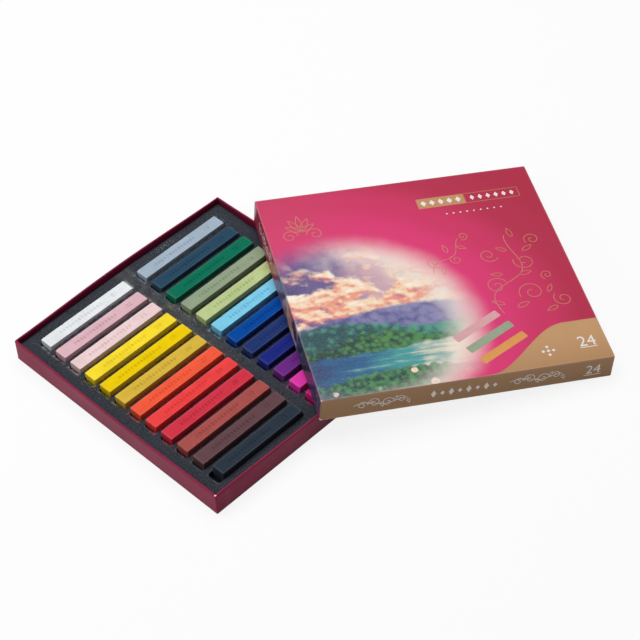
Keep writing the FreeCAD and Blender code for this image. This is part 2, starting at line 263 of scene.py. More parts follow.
class NodeBench:
    """Lays out the shader nodes of one finish, with a Principled surface at their end."""

    def __init__(self, name: str) -> None:
        """Start an empty finish.

        Args:
            name: The finish's name.
        """
        self.material = bpy.data.materials.new(name)
        self.material.use_nodes = True
        self.tree = self.material.node_tree
        self.tree.nodes.clear()
        self.output = self.tree.nodes.new("ShaderNodeOutputMaterial")
        self.surface = self.tree.nodes.new("ShaderNodeBsdfPrincipled")
        self.feed(self.output.inputs["Surface"], self.surface.outputs[0])

    def feed(self, socket: Socket, value: Value) -> None:
        """Set a socket, or link another node's output to it.

        Args:
            socket: The socket to feed.
            value: A number or colour, or another node's output.
        """
        if isinstance(value, Socket):
            self.tree.links.new(value, socket)
        else:
            socket.default_value = value

    def fill(self, node: bpy.types.Node, **values: Value) -> None:
        """Feed a node's sockets by name, with underscores for spaces."""
        for name, value in values.items():
            self.feed(node.inputs[name.replace("_", " ")], value)

    def add(self, kind: str, *inputs: Value, **settings: object) -> bpy.types.Node:
        """Add a node.

        Args:
            kind: Blender's name for the node, without its prefix.
            *inputs: What its first sockets get. None leaves a socket alone.
            **settings: The node's own settings.

        Returns:
            The node.
        """
        node = self.tree.nodes.new(f"ShaderNode{kind}")
        for key, setting in settings.items():
            setattr(node, key, setting)
        for socket, value in zip(node.inputs, inputs):
            if value is not None:
                self.feed(socket, value)
        return node

    def math(self, operation: str, *values: Value) -> Socket:
        """One arithmetic step on numbers."""
        return self.add("Math", *values, operation=operation).outputs[0]

    def times(self, first: Value, *others: Value) -> Socket:
        """The product of numbers."""
        for other in others:
            first = self.math("MULTIPLY", first, other)
        return first

    def minus(self, first: Value, second: Value) -> Socket:
        """The difference of two numbers."""
        return self.math("SUBTRACT", first, second)

    def line(self, value: Value, slope: Value, base: Value) -> Socket:
        """A number times a slope, plus a base."""
        return self.math("MULTIPLY_ADD", value, slope, base)

    def size(self, value: Value) -> Socket:
        """A number without its sign."""
        return self.math("ABSOLUTE", value)

    def sway(self, noisy: Value, swing: float, about: Value = 0.0) -> Socket:
        """A number moved up and down by noise that is 0.5 on average."""
        return self.line(self.minus(noisy, 0.5), swing, about)

    def step(self, value: Value, low: float, high: float) -> Socket:
        """Nought at the low value, one at the high value, and a soft S between them.

        Args:
            value: The number.
            low: Where the step starts.
            high: Where it ends; it may be the smaller of the two.

        Returns:
            The step, from 0 to 1.
        """
        if low > high:
            return self.minus(1.0, self.step(value, high, low))
        return self.add("MapRange", value, low, high, interpolation_type="SMOOTHSTEP").outputs[0]

    def mix(self, share: Value, first: Value, second: Value) -> Socket:
        """A colour between two others.

        Args:
            share: How much of the second there is.
            first: The colour below.
            second: The colour above.

        Returns:
            The mixed colour.
        """
        node = self.add("Mix", data_type="RGBA")
        self.feed(node.inputs["Factor"], share)
        self.feed(node.inputs[6], first)
        self.feed(node.inputs[7], second)
        return node.outputs[2]

    def tones(self, share: Value, colour: Colour, dark: float, light: float) -> Socket:
        """A mix of two shades of one colour."""
        return self.mix(share, shade(colour, dark), shade(colour, light))

    def grain(
        self, where: Value, scale: float, detail: float, stretch: Triple = (1, 1, 1)
    ) -> Socket:
        """Soft noise, about 0.5 on average.

        Args:
            where: The place that it follows.
            scale: Lumps in a metre.
            detail: How many finer layers it has.
            stretch: How much denser it is along each axis.

        Returns:
            The noise, from 0 to 1.
        """
        if stretch != (1, 1, 1):
            where = self.add("VectorMath", where, stretch, operation="MULTIPLY").outputs[0]
        node = self.add("TexNoise")
        self.fill(node, Vector=where, Scale=scale, Detail=detail)
        return node.outputs[0]

    def cells(self, where: Value, scale: float, smooth: float = 0.0) -> bpy.types.Node:
        """Scattered cells.

        Args:
            where: The place that they follow.
            scale: Cells in a metre.
            smooth: How softly they join.

        Returns:
            A node that gives the distance to the nearest centre, and that cell's colour.
        """
        node = self.add("TexVoronoi", feature="SMOOTH_F1" if smooth else "F1")
        self.fill(node, Vector=where, Scale=scale)
        if smooth:
            self.fill(node, Smoothness=smooth)
        return node

    def ramp(self, value: Value, stops: Stops, crisp: bool = False) -> Socket:
        """A colour that follows a number through stops.

        Args:
            value: The number.
            stops: Place from 0 to 1, and colour, of each stop.
            crisp: Whether the colours change at once instead of blending.

        Returns:
            The colour.
        """
        node = self.add("ValToRGB", value)
        band = node.color_ramp
        band.interpolation = "CONSTANT" if crisp else "EASE"
        while len(band.elements) < len(stops):
            band.elements.new(0.5)
        for element, (place, colour) in zip(band.elements, stops):
            element.position = place
            element.color = colour
        return node.outputs[0]

    def bump(self, *layers: tuple[Socket, float]) -> None:
        """Give the surface fine relief.

        Args:
            *layers: The height from 0 to 1 and its depth in metres, of each layer.
        """
        under = {}
        for height, depth in layers:
            node = self.add("Bump")
            self.fill(node, Strength=1.0, Distance=depth, Height=height, **under)
            under = {"Normal": node.outputs[0]}
        self.fill(self.surface, **under)

    def place(self) -> Socket:
        """The point on the piece, in the box's frame."""
        return self.add("TexCoord").outputs["Object"]

    def rubbed_bare(self, fleck: Value) -> Socket:
        """How far the print is rubbed off, in ragged places."""
        return self.step(self.line(fleck, 0.55, self.value("wear")), 0.78, 0.86)

    def value(self, name: str) -> Socket:
        """A number painted on the piece's corners."""
        return self.add("Attribute", attribute_name=name).outputs["Fac"]

    def vector(self, name: str) -> Socket:
        """A vector painted on the piece's corners."""
        return self.add("Attribute", attribute_name=name).outputs["Vector"]

    def split(self, where: Value) -> tuple:
        """The three parts of a vector."""
        return tuple(self.add("SeparateXYZ", where).outputs)

    def finish(self, **settings: Value) -> Material:
        """Set the surface's sockets.

        Args:
            **settings: Socket names and values.

        Returns:
            The material.
        """
        self.fill(self.surface, **settings)
        return self.material


# Finishes


@dataclass(frozen=True)
class WornPaper:
    """Satin covering paper in one colour: painted highlight on folds, painted shade inside, white
    where rubbed.
    """

    name: str = "tray_paper"
    colour: Colour = ink("93264a")
    # Painted highlight colour for the folds and the rim.
    highlight_colour: Colour = ink("a02c4c")
    core: Colour = ink("efe2dd")  # the bare paper where the print is rubbed off
    roughness: float = 0.33

    def make(self) -> Material:
        """Build the finish.

        Returns:
            The material.
        """
        bench = NodeBench(self.name)
        where = bench.place()
        cloud = bench.grain(where, 38, 3)
        fleck = bench.grain(where, 900, 3)
        highlight_and_shade = bench.value("highlight_and_shade")
        bare = bench.rubbed_bare(fleck)
        body = bench.tones(bench.step(cloud, 0.25, 0.75), self.colour, 1.0, 0.86)
        # Painted highlight along the folds and the rim, where the value is above nought.
        body = bench.mix(bench.times(highlight_and_shade, 0.75), body, self.highlight_colour)
        # Painted shade on the inner walls, where the value is below nought.
        body = bench.mix(bench.times(highlight_and_shade, -1.0), body, shade(self.colour, 0.3))
        body = bench.mix(bare, body, self.core)
        rough = bench.line(cloud, 0.12, self.roughness - 0.06)
        rough = bench.line(bare, 0.35, rough)
        bench.bump((bench.grain(where, 260, 2), 0.00006), (fleck, 0.00001))
        return bench.finish(Base_Color=body, Roughness=rough, Specular_IOR_Level=0.05)


@dataclass(frozen=True)
class Greyboard:
    """Unprinted grey board with short fibres."""

    name: str = "greyboard"
    colour: Colour = ink("8f887c")

    def make(self) -> Material:
        """Build the finish.

        Returns:
            The material.
        """
        bench = NodeBench(self.name)
        where = bench.place()
        fibre = bench.grain(where, 500, 4, (1, 1, 0.35))
        fleck = bench.cells(where, 700).outputs[0]
        body = bench.tones(fibre, self.colour, 0.72, 1.2)
        body = bench.mix(bench.step(fleck, 0.16, 0.08), body, ink("5d5248"))
        bench.bump((fibre, 0.00004))
        return bench.finish(Base_Color=body, Roughness=0.92)


@dataclass(frozen=True)
class KraftTape:
    """Brown paper tape that binds the corners."""

    name: str = "corner_tape"
    colour: Colour = ink("b0895a")

    def make(self) -> Material:
        """Build the finish.

        Returns:
            The material.
        """
        bench = NodeBench(self.name)
        where = bench.place()
        fibre = bench.grain(where, 420, 3, (1, 1, 0.2))
        body = bench.tones(fibre, self.colour, 0.8, 1.12)
        bench.bump((fibre, 0.00003))
        return bench.finish(Base_Color=body, Roughness=0.7)


@dataclass(frozen=True)
class DustyFoam:
    """Charcoal closed-cell foam, with fine pores, chalk rubbed off round each slot and painted
    shade deep down.
    """

    name: str
    colour: Colour = ink("34383f")
    front: tuple[Colour, ...] = ()  # the sticks' colours, from the left
    back: tuple[Colour, ...] = ()
    pitch: float = 15.0  # distance between slots, in millimetres
    row_spacing: float = 87.2
    slot_half: Pair = (5.3, 38.95)  # half a slot's width and depth
    # Painted shade: the foam darkens towards the bottom, between these heights.
    painted_shade_heights: Pair = (0.0104, 0.0066)  # heights between which its walls darken, in metres

    def make(self) -> Material:
        """Build the finish.

        Returns:
            The material.
        """
        bench = NodeBench(self.name)
        where = bench.place()
        pore = bench.cells(where, 1500).outputs[0]
        grit = bench.grain(where, 1300, 4)
        soft = bench.grain(where, 60, 2)
        body = bench.tones(bench.step(grit, 0.34, 0.68), self.colour, 0.55, 1.6)
        # Painted shade in the pores.
        body = bench.mix(bench.step(pore, 0.28, 0.1), body, shade(self.colour, 0.4))
        lighter = bench.mix(0.5, body, shade(self.colour, 1.25))
        body = bench.mix(bench.step(soft, 0.35, 0.75), body, lighter)
        # Painted shade deep in the slots and on the sheet under them.
        low = bench.step(bench.split(where)[2], *self.painted_shade_heights)
        body = bench.mix(low, body, shade(self.colour, 0.18))
        if self.front:
            body = self.rub_chalk(bench, where, body, grit)
        bench.bump((grit, 0.00014), (pore, 0.0001))
        return bench.finish(Base_Color=body, Roughness=0.9, Specular_IOR_Level=0.12)

    def rub_chalk(self, bench: NodeBench, where: Socket, body: Socket, grit: Socket) -> Socket:
        """Tint the foam beside each slot with its own stick's dust.

        Args:
            bench: The finish's nodes.
            where: The point on the foam.
            body: The foam's own colour.
            grit: Fine noise.

        Returns:
            The dusted colour.
        """
        x, y, _ = bench.split(where)
        upward = bench.step(bench.split(bench.add("NewGeometry").outputs["Normal"])[2], 0.5, 0.9)
        smear = bench.grain(where, 170, 3)
        count = len(self.front)
        span = count * self.pitch * MM
        along = bench.math("DIVIDE", bench.math("ADD", x, span / 2), span)
        place = bench.minus(bench.math("FRACT", bench.times(along, float(count))), 0.5)
        across = bench.size(place)
        across = bench.line(across, self.pitch * MM, -self.slot_half[0] * MM)
        down = y
        for reach in (self.row_spacing / 2, self.slot_half[1]):
            down = bench.minus(bench.size(down), reach * MM)
        rows = []
        for colours in (self.front, self.back):
            stops = [(i / count, colour) for i, colour in enumerate(colours)]
            rows.append(bench.ramp(along, stops, crisp=True))
        dust = bench.mix(bench.math("GREATER_THAN", y, 0.0), *rows)
        beside = bench.times(bench.step(bench.math("MAXIMUM", across, down), 0.0014, -0.0002), 0.3)
        at_end = bench.math("GREATER_THAN", down, across)
        at_end = bench.times(at_end, bench.step(down, 0.0021, 0.0001), 0.5)
        near = bench.math("MAXIMUM", beside, at_end)
        patchy = bench.step(bench.line(grit, 0.6, smear), 0.72, 1.0)
        inside = bench.math("LESS_THAN", bench.size(x), span / 2)
        cover = bench.times(near, patchy, inside, upward)
        body = bench.mix(cover, body, bench.mix(0.25, dust, ink("9a9ca2")))
        speck = bench.cells(where, 420)
        chosen = bench.math("GREATER_THAN", bench.split(speck.outputs[1])[0], 0.84)
        speckle = bench.times(bench.step(speck.outputs[0], 0.1, 0.05), chosen)
        body = bench.mix(bench.times(speckle, 0.75), body, bench.mix(0.5, dust, ink("c9ccd2")))
        middle = bench.step(bench.size(y), 0.009, 0.003)
        middle = bench.times(middle, bench.step(smear, 0.2, 0.8), bench.step(x, 0.04, -0.02), 0.26)
        return bench.mix(middle, body, ink("827e79"))


@dataclass(frozen=True)
class Chalk:
    """One pressed pastel colour: matt, slightly pitted, dusty on its edges."""

    name: str
    colour: Colour

    def make(self, shaded_recess: bool = False) -> Material:
        """Build the finish.

        Args:
            shaded_recess: Whether it is for the pressed-in marks, which get painted shade as a
                darker tone.

        Returns:
            The material.
        """
        bench = NodeBench(f"{self.name}_mark" if shaded_recess else self.name)
        where = bench.place()
        # The marks get painted shade: a darker tone of the chalk.
        tone = shade(self.colour, 0.86) if shaded_recess else self.colour
        cloud = bench.grain(where, 90, 3)
        streak = bench.grain(where, 300, 3, (3.0, 0.14, 3.0))
        grit = bench.grain(where, 2200, 3)
        pit = bench.cells(where, 900).outputs[0]
        body = bench.tones(bench.step(cloud, 0.3, 0.72), tone, 0.93, 1.04)
        body = bench.mix(bench.step(streak, 0.45, 0.8), body, shade(tone, 1.06))
        # Painted shade in the pits.
        body = bench.mix(bench.step(pit, 0.13, 0.07), body, shade(tone, 0.72))
        if not shaded_recess:
            rub = bench.times(bench.value("rub"), bench.step(grit, 0.3, 0.62), 0.3)
            body = bench.mix(rub, body, pale(tone, 0.16))
        bench.bump((grit, 0.00005), (streak, 0.00004), (pit, 0.00004))
        return bench.finish(Base_Color=body, Roughness=0.9, Specular_IOR_Level=0.1)


@dataclass(frozen=True)
class FlatInk:
    """One plain printed ink, or dust of one colour."""

    name: str
    colour: Colour
    roughness: float

    def make(self) -> Material:
        """Build the finish.

        Returns:
            The material.
        """
        bench = NodeBench(self.name)
        where = bench.place()
        body = bench.tones(bench.grain(where, 240, 3), self.colour, 0.9, 1.08)
        bench.bump((bench.grain(where, 260, 2), 0.00005))
        return bench.finish(Base_Color=body, Roughness=self.roughness)


@dataclass(frozen=True)
class Landscape:
    """The lid's picture: a lake under hills with evening clouds, in soft chalk strokes."""

    bench: NodeBench  # the nodes of the lid's finish
    sheet: Socket  # the point on the unfolded sheet, in metres
    p: Socket  # its place across the picture, -1 to 1
    q: Socket  # its place up the picture, -1 to 1
    far: Socket  # its distance from the picture's middle, 1 at the edge
    side: Socket  # light from the right, 0 to 1
    rough: Socket  # coarse noise
    frill: Socket  # fine noise

    def paint(self) -> tuple[Socket, Socket]:
        """Paint it, from the sky to the near bank.

        Returns:
            The picture's colour, and how much of it shows.
        """
        bench = self.bench
        stops = inks((0.1, "35325f"), (0.42, "6b5c90"), (0.66, "cfa9b4"), (0.86, "f6e6d6"))
        picture = bench.ramp(self.side, stops)
        for paint in (self.clouds, self.hills, self.lake, self.meadow):
            picture = paint(picture)
        ragged = bench.sway(self.rough, 0.075, self.far)
        halo = bench.mix(bench.step(self.side, 0.3, 0.66), ink("6a5590"), ink("f8eadf"))
        picture = bench.mix(bench.times(bench.step(ragged, 0.66, 1.0), 0.85), picture, halo)
        tooth = bench.step(bench.grain(self.sheet, 900, 2), 0.4, 0.75)
        picture = bench.mix(bench.times(tooth, 0.06), picture, ink("fff2e4"))
        return picture, bench.step(ragged, 1.2, 0.84)

    def clouds(self, sky: Socket) -> Socket:
        """Heaped evening clouds, cream towards the light and coral in their folds.

        Args:
            sky: The colour behind them.

        Returns:
            The sky with its clouds.
        """
        bench = self.bench
        to_light = (0.002, 0.0024, 0.0)
        drift = bench.add("VectorMath", self.sheet, to_light, operation="ADD").outputs[0]
        heap, ahead = (bench.grain(place, 44, 6, (0.8, 1.2, 1)) for place in (self.sheet, drift))
        low = bench.step(self.q, 0.95, 0.15)
        cover = bench.step(bench.line(low, 0.12, heap), 0.5, 0.6)
        lit = bench.line(bench.minus(heap, ahead), 3.2, 0.5)
        stops = inks((0.16, "c77c97"), (0.38, "ef9f86"), (0.58, "fbd9b8"), (0.82, "fdf2e2"))
        return bench.mix(cover, sky, bench.ramp(lit, stops))

    def hills(self, picture: Socket) -> Socket:
        """Three ridges, the nearest of them dark trees.

        Args:
            picture: What is behind them.

        Returns:
            The picture with the hills.
        """
        bench = self.bench
        ridges = (
            (0.12, 0.09, 2.3, 0.4, 0.05, ink("4c4f88"), ink("8a86b2")),
            (0.0, 0.07, 3.7, 2.2, 0.12, ink("1d4a52"), ink("4f9a86")),
            (-0.14, 0.08, 5.1, 0.7, 0.3, ink("123c38"), ink("4d8a4c")),
        )
        clump = bench.line(self.side, 0.5, bench.times(self.frill, 0.5))
        for number, (base, swing, pace, start, ragged, dark, light) in enumerate(ridges):
            leaves = bench.cells(self.sheet, 130 + 60 * number, smooth=0.4).outputs[0]
            wave = bench.math("SINE", bench.line(self.p, pace, start))
            ridge = bench.sway(self.frill, ragged, bench.line(wave, swing, base))
            under = bench.step(bench.minus(self.q, ridge), 0.03, -0.03)
            tone = bench.step(bench.line(leaves, -0.55, clump), 0.05, 0.5)
            picture = bench.mix(under, picture, bench.mix(tone, dark, light))
        return picture

    def lake(self, picture: Socket) -> Socket:
        """Water with the evening light on its right.

        Args:
            picture: What is behind it.

        Returns:
            The picture with the lake.
        """
        bench = self.bench
        shore = bench.line(self.p, 0.05, bench.sway(self.rough, 0.12, -0.3))
        under = bench.step(bench.minus(self.q, shore), 0.02, -0.02)
        ripple = bench.grain(self.sheet, 90, 4, (0.3, 2.6, 1))
        stops = inks((0.12, "26285c"), (0.42, "1f5a8a"), (0.66, "3f9a9c"), (0.9, "f0e4cc"))
        water = bench.ramp(bench.sway(ripple, 0.5, self.side), stops)
        glint = bench.times(bench.step(ripple, 0.55, 0.7), bench.step(self.side, 0.35, 0.8))
        return bench.mix(under, picture, bench.mix(bench.times(glint, 0.8), water, ink("fbe6cf")))

    def meadow(self, picture: Socket) -> Socket:
        """A near bank with loose blossoms.

        Args:
            picture: What is behind it.

        Returns:
            The finished picture.
        """
        bench = self.bench
        wave = bench.math("SINE", bench.line(self.p, 2.1, 0.9))
        bank = bench.sway(self.frill, 0.16, bench.line(wave, 0.1, -0.62))
        under = bench.step(bench.minus(self.q, bank), 0.02, -0.02)
        grass = bench.mix(bench.step(self.frill, 0.35, 0.66), ink("143f3c"), ink("4f8f58"))
        flower = bench.cells(self.sheet, 95)
        away = bench.sway(self.frill, 0.3, flower.outputs[0])
        petals = bench.ramp(away, inks((0.06, "f08f8c"), (0.2, "fbd2b4"), (0.34, "fdf0e0")))
        orange = bench.mix(0.4, petals, ink("f4b08a"))
        tint = bench.mix(bench.split(flower.outputs[1])[1], petals, orange)
        return bench.mix(under, picture, bench.mix(bench.step(away, 0.36, 0.28), grass, tint))


@dataclass(frozen=True)
class LidPrint:
    """The lid's glossy sheet: crimson ground, a soft evening landscape and a gold wave.

    Places are millimetres on the unfolded sheet: u from the panel's left edge, v from its
    middle line towards the back.
    """

    name: str = "lid_paper"
    centre: Pair = (38.0, -38.0)  # the picture's middle
    reach: Pair = (80.0, 77.0)  # half its width and height
    half_depth: float = 96.5  # half the panel's depth
    wave: Triple = (112.0, 176.0, 37.0)  # where the wave starts and ends, and its height

    def make(self) -> Material:
        """Build the finish.

        Returns:
            The material.
        """
        bench = NodeBench(self.name)
        sheet = bench.vector("sheet")
        where = bench.place()
        u, v = (bench.times(part, 1 / MM) for part in bench.split(sheet)[:2])
        landscape = self.landscape(bench, sheet, u, v)
        picture, mask = landscape.paint()
        body = bench.mix(mask, self.ground(bench, landscape.far, u), picture)
        body = self.gold(bench, sheet, u, v, body)
        # Painted shade on the left wall.
        left_wall_shade = bench.times(bench.step(u, 0.4, -0.6), 0.42)
        body = bench.mix(left_wall_shade, body, (0.0, 0.0, 0.0, 1.0))
        # Painted highlight along the folds: the print mixed towards light pink.
        highlight_and_shade = bench.value("highlight_and_shade")
        lighter = bench.mix(0.4, body, ink("f3c6bc"))
        body = bench.mix(bench.times(highlight_and_shade, 0.5), body, lighter)
        bare = bench.rubbed_bare(bench.grain(where, 900, 3))
        body = bench.mix(bare, body, ink("efe6e2"))
        rough = bench.line(bench.grain(where, 30, 3), 0.1, 0.2)
        rough = bench.line(bare, 0.4, rough)
        bench.bump((bench.grain(where, 240, 2), 0.00005), (bench.grain(where, 24, 2), 0.00035))
        return bench.finish(Base_Color=body, Roughness=rough, Specular_IOR_Level=0.2)

    def landscape(self, bench: NodeBench, sheet: Socket, u: Socket, v: Socket) -> Landscape:
        """Set up the picture, round its middle on the sheet.

        Args:
            bench: The finish's nodes.
            sheet: The point on the unfolded sheet, in metres.
            u: The same point's distance from the left edge, in millimetres.
            v: Its distance from the middle line, in millimetres.

        Returns:
            The picture, not painted yet.
        """
        p, q = (
            bench.times(bench.minus(value, middle), 1 / reach)
            for value, middle, reach in zip((u, v), self.centre, self.reach)
        )
        far = bench.math("SQRT", bench.line(p, p, bench.times(q, q)))
        rough = bench.grain(sheet, 70, 4)
        side = bench.sway(rough, 0.3, bench.line(p, 0.5, 0.5))
        return Landscape(bench, sheet, p, q, far, side, rough, bench.grain(sheet, 230, 4))

    def ground(self, bench: NodeBench, far: Socket, u: Socket) -> Socket:
        """The plain ground: hot pink close to the picture, deep crimson far from it, and a painted
        sheen that lightens it towards the left.

        Args:
            bench: The finish's nodes.
            far: The point's distance from the picture's middle, 1 at the picture's edge.
            u: Its distance from the left edge, in millimetres.

        Returns:
            The ground's colour.
        """
        near = inks((0.4, "e63c80"), (0.5, "de3874"), (0.64, "d03263"))
        deep = bench.ramp(bench.times(far, 0.4), near + inks((0.79, "b82a4c"), (0.95, "b22645")))
        # Painted sheen: lighter towards the left edge.
        return bench.mix(bench.times(bench.step(u, 90.0, 0.0), 0.5), deep, ink("cb4568"))

    def gold(self, bench: NodeBench, sheet: Socket, u: Socket, v: Socket, body: Socket) -> Socket:
        """Lay the gold wave over the front right of the panel and down the front wall.

        Args:
            bench: The finish's nodes.
            sheet: The point on the unfolded sheet, in metres.
            u: The same point's distance from the left edge, in millimetres.
            v: Its distance from the middle line, in millimetres.
            body: The print so far.

        Returns:
            The print with the wave.
        """
        start, end, height = self.wave
        crest = bench.line(bench.step(u, start, end), height, -self.half_depth - 0.4)
        mask = bench.step(bench.minus(v, crest), 0.3, -0.3)
        tone = bench.mix(bench.step(v, -118.0, -64.0), ink("a87d55"), ink("cb9f72"))
        tone = bench.mix(bench.times(bench.grain(sheet, 55, 2), 0.3), tone, ink("b98a5c"))
        return bench.mix(mask, body, tone)


# Folded board and paper


def ways(side: int) -> tuple[np.ndarray, np.ndarray]:
    """Directions along and out of a rectangle's side; 0 is the front, then anticlockwise."""
    turn = math.radians(90 * side)
    run = np.array([math.cos(turn), math.sin(turn)])
    return run, np.array([run[1], -run[0]])


@dataclass
class FoldedShell:
    """A panel with four walls, folded from one sheet: tray or lid, paper or board.

    Sizes are millimetres. The panel lies level round the origin, and the walls go from it
    towards the rim, which is at the full height.
    """

    half: Pair  # half the outer width and depth
    height: float  # from the panel to the rim
    # How far each wall's middle stands out at the rim, anticlockwise from the front.
    bows: tuple[float, float, float, float] = (0.0, 0.0, 0.0, 0.0)
    flare: float = 0.0  # how far all the walls stand out at the rim
    foot: float = 0.0  # the same beside the panel
    corner: float = 0.8  # outer radius of the upright corners
    corner_steps: int = 4  # divisions of each corner
    lap: float = 9.0  # how far the front and back paper laps over the side walls
    lap_rise: float = 0.06  # how much it thickens them there
    wall: float = 1.4  # thickness of a wall: board between two layers of paper
    skin: float = 0.15  # thickness of the outer paper
    turned_skin: float = 0.14  # thickness of the paper that is turned in
    board: Pair = (0.26, 1.24)  # insets of the board's two faces

    def stops(self, length: float) -> np.ndarray:
        """Distances from one corner at which a side has corners of its mesh."""
        near = np.array([0.0, 1.5, 4.5, self.lap - 0.12, self.lap + 0.12, 14.0, 22.0])
        middle = np.linspace(near[-1], length - near[-1], 14)[1:-1]
        return np.concatenate([near, middle, length - near[::-1]])

    def outline(self, inset: float) -> tuple[np.ndarray, ...]:
        """One turn round the shell.

        Args:
            inset: How far inside the outer face it runs.

        Returns:
            Points, outward directions, the side of each point (-1 on a corner), and its
            place along that side as -1 to 1.
        """
        marks = []
        reach = (self.half[0] - inset, self.half[1] - inset)
        radius = max(self.corner - inset, 0.12)
        for side in range(4):
            run, out = ways(side)
            straight, off = reach[side % 2] - radius, reach[1 - side % 2]
            full = 2 * (self.half[side % 2] - self.corner)
            for t in 2 * self.stops(full) / full - 1:
                marks.append((run * t * straight + out * off, out, side, t))
            centre = run * straight + out * (off - radius)
            for angle in np.linspace(0, math.pi / 2, self.corner_steps + 1)[1:-1]:
                way = out * math.cos(angle) + run * math.sin(angle)
                marks.append((centre + way * radius, way, -1, 1.0))
        return tuple(np.array(column) for column in zip(*marks))

    def bow(self, side: np.ndarray, along: np.ndarray, depth: float) -> np.ndarray:
        """How far a wall stands out of its plane at places along it.

        Args:
            side: The wall's number, or -1 on a corner.
            along: Place along the wall, -1 to 1.
            depth: Distance from the panel.

        Returns:
            Millimetres outwards.
        """
        most = np.array([*self.bows, 0.0])[side]
        return most * (1 - along**2) ** 2 * max(depth / self.height, 0.0) ** 1.3

    def lean_out(self, depth: float) -> float:
        """How far all the walls stand out at a distance from the panel."""
        share = max(depth / self.height, 0.0)
        return self.foot * (1 - share) + self.flare * share**1.2

    def sweep(self, profile: Sequence[Triple]) -> tuple[np.ndarray, Faces, np.ndarray, np.ndarray]:
        """Carry a closed wall section round the shell and close both of its panels.

        Args:
            profile: Inset, distance from the panel and painted brightness (highlight above nought,
                shade below) at each point of the section, from the outer panel's edge over the rim
                to the inner panel's edge.

        Returns:
            Points, faces, painted brightness (highlight above nought, shade below), and places on
            the unfolded sheet.
        """
        flat = self.outline(0.0)[0]
        count = len(flat)
        rows, highlights_and_shades, sheets = [], [], []
        travelled, last = 0.0, profile[0][:2]
        for inset, depth, highlight_and_shade in profile:
            ring, outward, side, along = self.outline(inset)
            push = self.bow(side, along, depth)
            on_wall = inset < 0.1 and 0.4 < depth < self.height - 0.4
            if on_wall:
                from_corner = (1 - np.abs(along)) * (self.half[1] - self.corner)
                push = push + self.lap_rise * ((side % 2 == 1) & (from_corner < self.lap))
            lean = 1 + self.lean_out(depth) / np.array(self.half)
            ring = (ring + outward * push[:, None]) * lean
            travelled += math.dist(last, (inset, depth))
            last = (inset, depth)
            rows.append(np.column_stack([ring, np.full(count, depth)]))
            sheets.append(np.column_stack([flat + outward * travelled, np.zeros(count)]))
            # Painted highlight along the upright corners.
            highlights_and_shades.append(np.where((side < 0) & (highlight_and_shade >= 0), max(highlight_and_shade, 0.8), highlight_and_shade))
        # Rings of the two panels, as shares of the way from the middle to the edge.
        shares = (0.04, 0.18, 0.36, 0.54, 0.7, 0.84, 0.93, 0.975, 0.992)
        outer = [rows[0] * (s, s, 1) for s in shares]
        inner = [rows[-1] * (s, s, 1) for s in shares[::-1]]
        plain = [np.zeros(count)] * len(shares)
        sheets = [r * (1, 1, 0) for r in outer] + sheets + [r * (1, 1, 0) for r in inner]
        rows = outer + rows + inner
        end = count * (len(rows) - 1)
        faces = ring_faces(count, len(rows))
        faces += [tuple(range(count))[::-1], tuple(range(end, end + count))]
        return np.vstack(rows), faces, np.concatenate(plain + highlights_and_shades + plain), np.vstack(sheets)

    def paper_profile(self, turn_in: float, crease_highlight: float) -> list[Triple]:
        """The covering paper's section: panel, wall, rim and turn-in, then back behind them.

        Args:
            turn_in: How far the paper reaches down inside.
            crease_highlight: Painted highlight along the crease round the panel.

        Returns:
            Inset, distance from the panel and painted brightness of each point: highlight above
            nought, shade below.
        """
        h, wall, skin, back = self.height, self.wall, self.skin, self.wall - self.turned_skin
        bend = ((0.0, 0.55), (0.07, 0.25), (0.25, 0.07), (0.55, 0.0))
        rim = [(a, h - b) for a, b in bend] + [(wall - a, h - b) for a, b in bend[::-1]]
        # Painted highlight on the rim's outer bend, turning to painted shade towards its inner
        # face.
        glow = (0.0, 0.5, 0.35, 0.0, -0.1, -0.2, -0.3, -0.5)
        return [
            (0.5, 0.0, 0.5 * crease_highlight), (0.16, 0.05, crease_highlight), (0.05, 0.16, crease_highlight),
            (0.0, 0.5, 0.5 * crease_highlight), *((0.0, h * k, 0.0) for k in (0.12, 0.3, 0.5, 0.7, 0.86)),
            *((*place, bright) for place, bright in zip(rim, glow)),
            # The turned-in paper inside the walls gets painted shade.
            (wall, h - turn_in * 0.35, -0.65), (wall, h - turn_in * 0.7, -0.7),
            (wall, h - turn_in, -0.7), (back, h - turn_in, 0.0), (back, h - 0.5, 0.0),
            (1.1, h - 0.24, 0.0), (0.3, h - 0.24, 0.0), (skin, h - 0.5, 0.0),
            (skin, h * 0.7, 0.0), (skin, h * 0.3, 0.0), (skin, 0.5, 0.0), (0.5, skin, 0.0),
        ]

    def board_profile(self) -> list[Triple]:
        """The greyboard's section, between the paper's two faces.

        Returns:
            Inset, distance from the panel and fold brightness of each point.
        """
        (outer, inner), top = self.board, self.height - 0.36
        heights = [self.height * k for k in (0.12, 0.3, 0.5, 0.7, 0.86)]
        inside = [self.height * k for k in (0.86, 0.6, 0.3)]
        section = [(outer, z, 0.0) for z in (outer, *heights, top)]
        return section + [(inner, z, 0.0) for z in (top, *inside, inner + 0.02)]


def spots(points: np.ndarray, *places: tuple[float, ...]) -> np.ndarray:
    """How worn each point is, from round worn places.

    Args:
        points: Points in millimetres.
        *places: Middle, radius and strength of each worn place.

    Returns:
        Wear at each point.
    """
    worn = np.zeros(len(points))
    for x, y, z, radius, strength in places:
        away = np.linalg.norm(points - (x, y, z), axis=1)
        worn = np.maximum(worn, strength * np.exp(-((away / radius) ** 2)))
    return worn


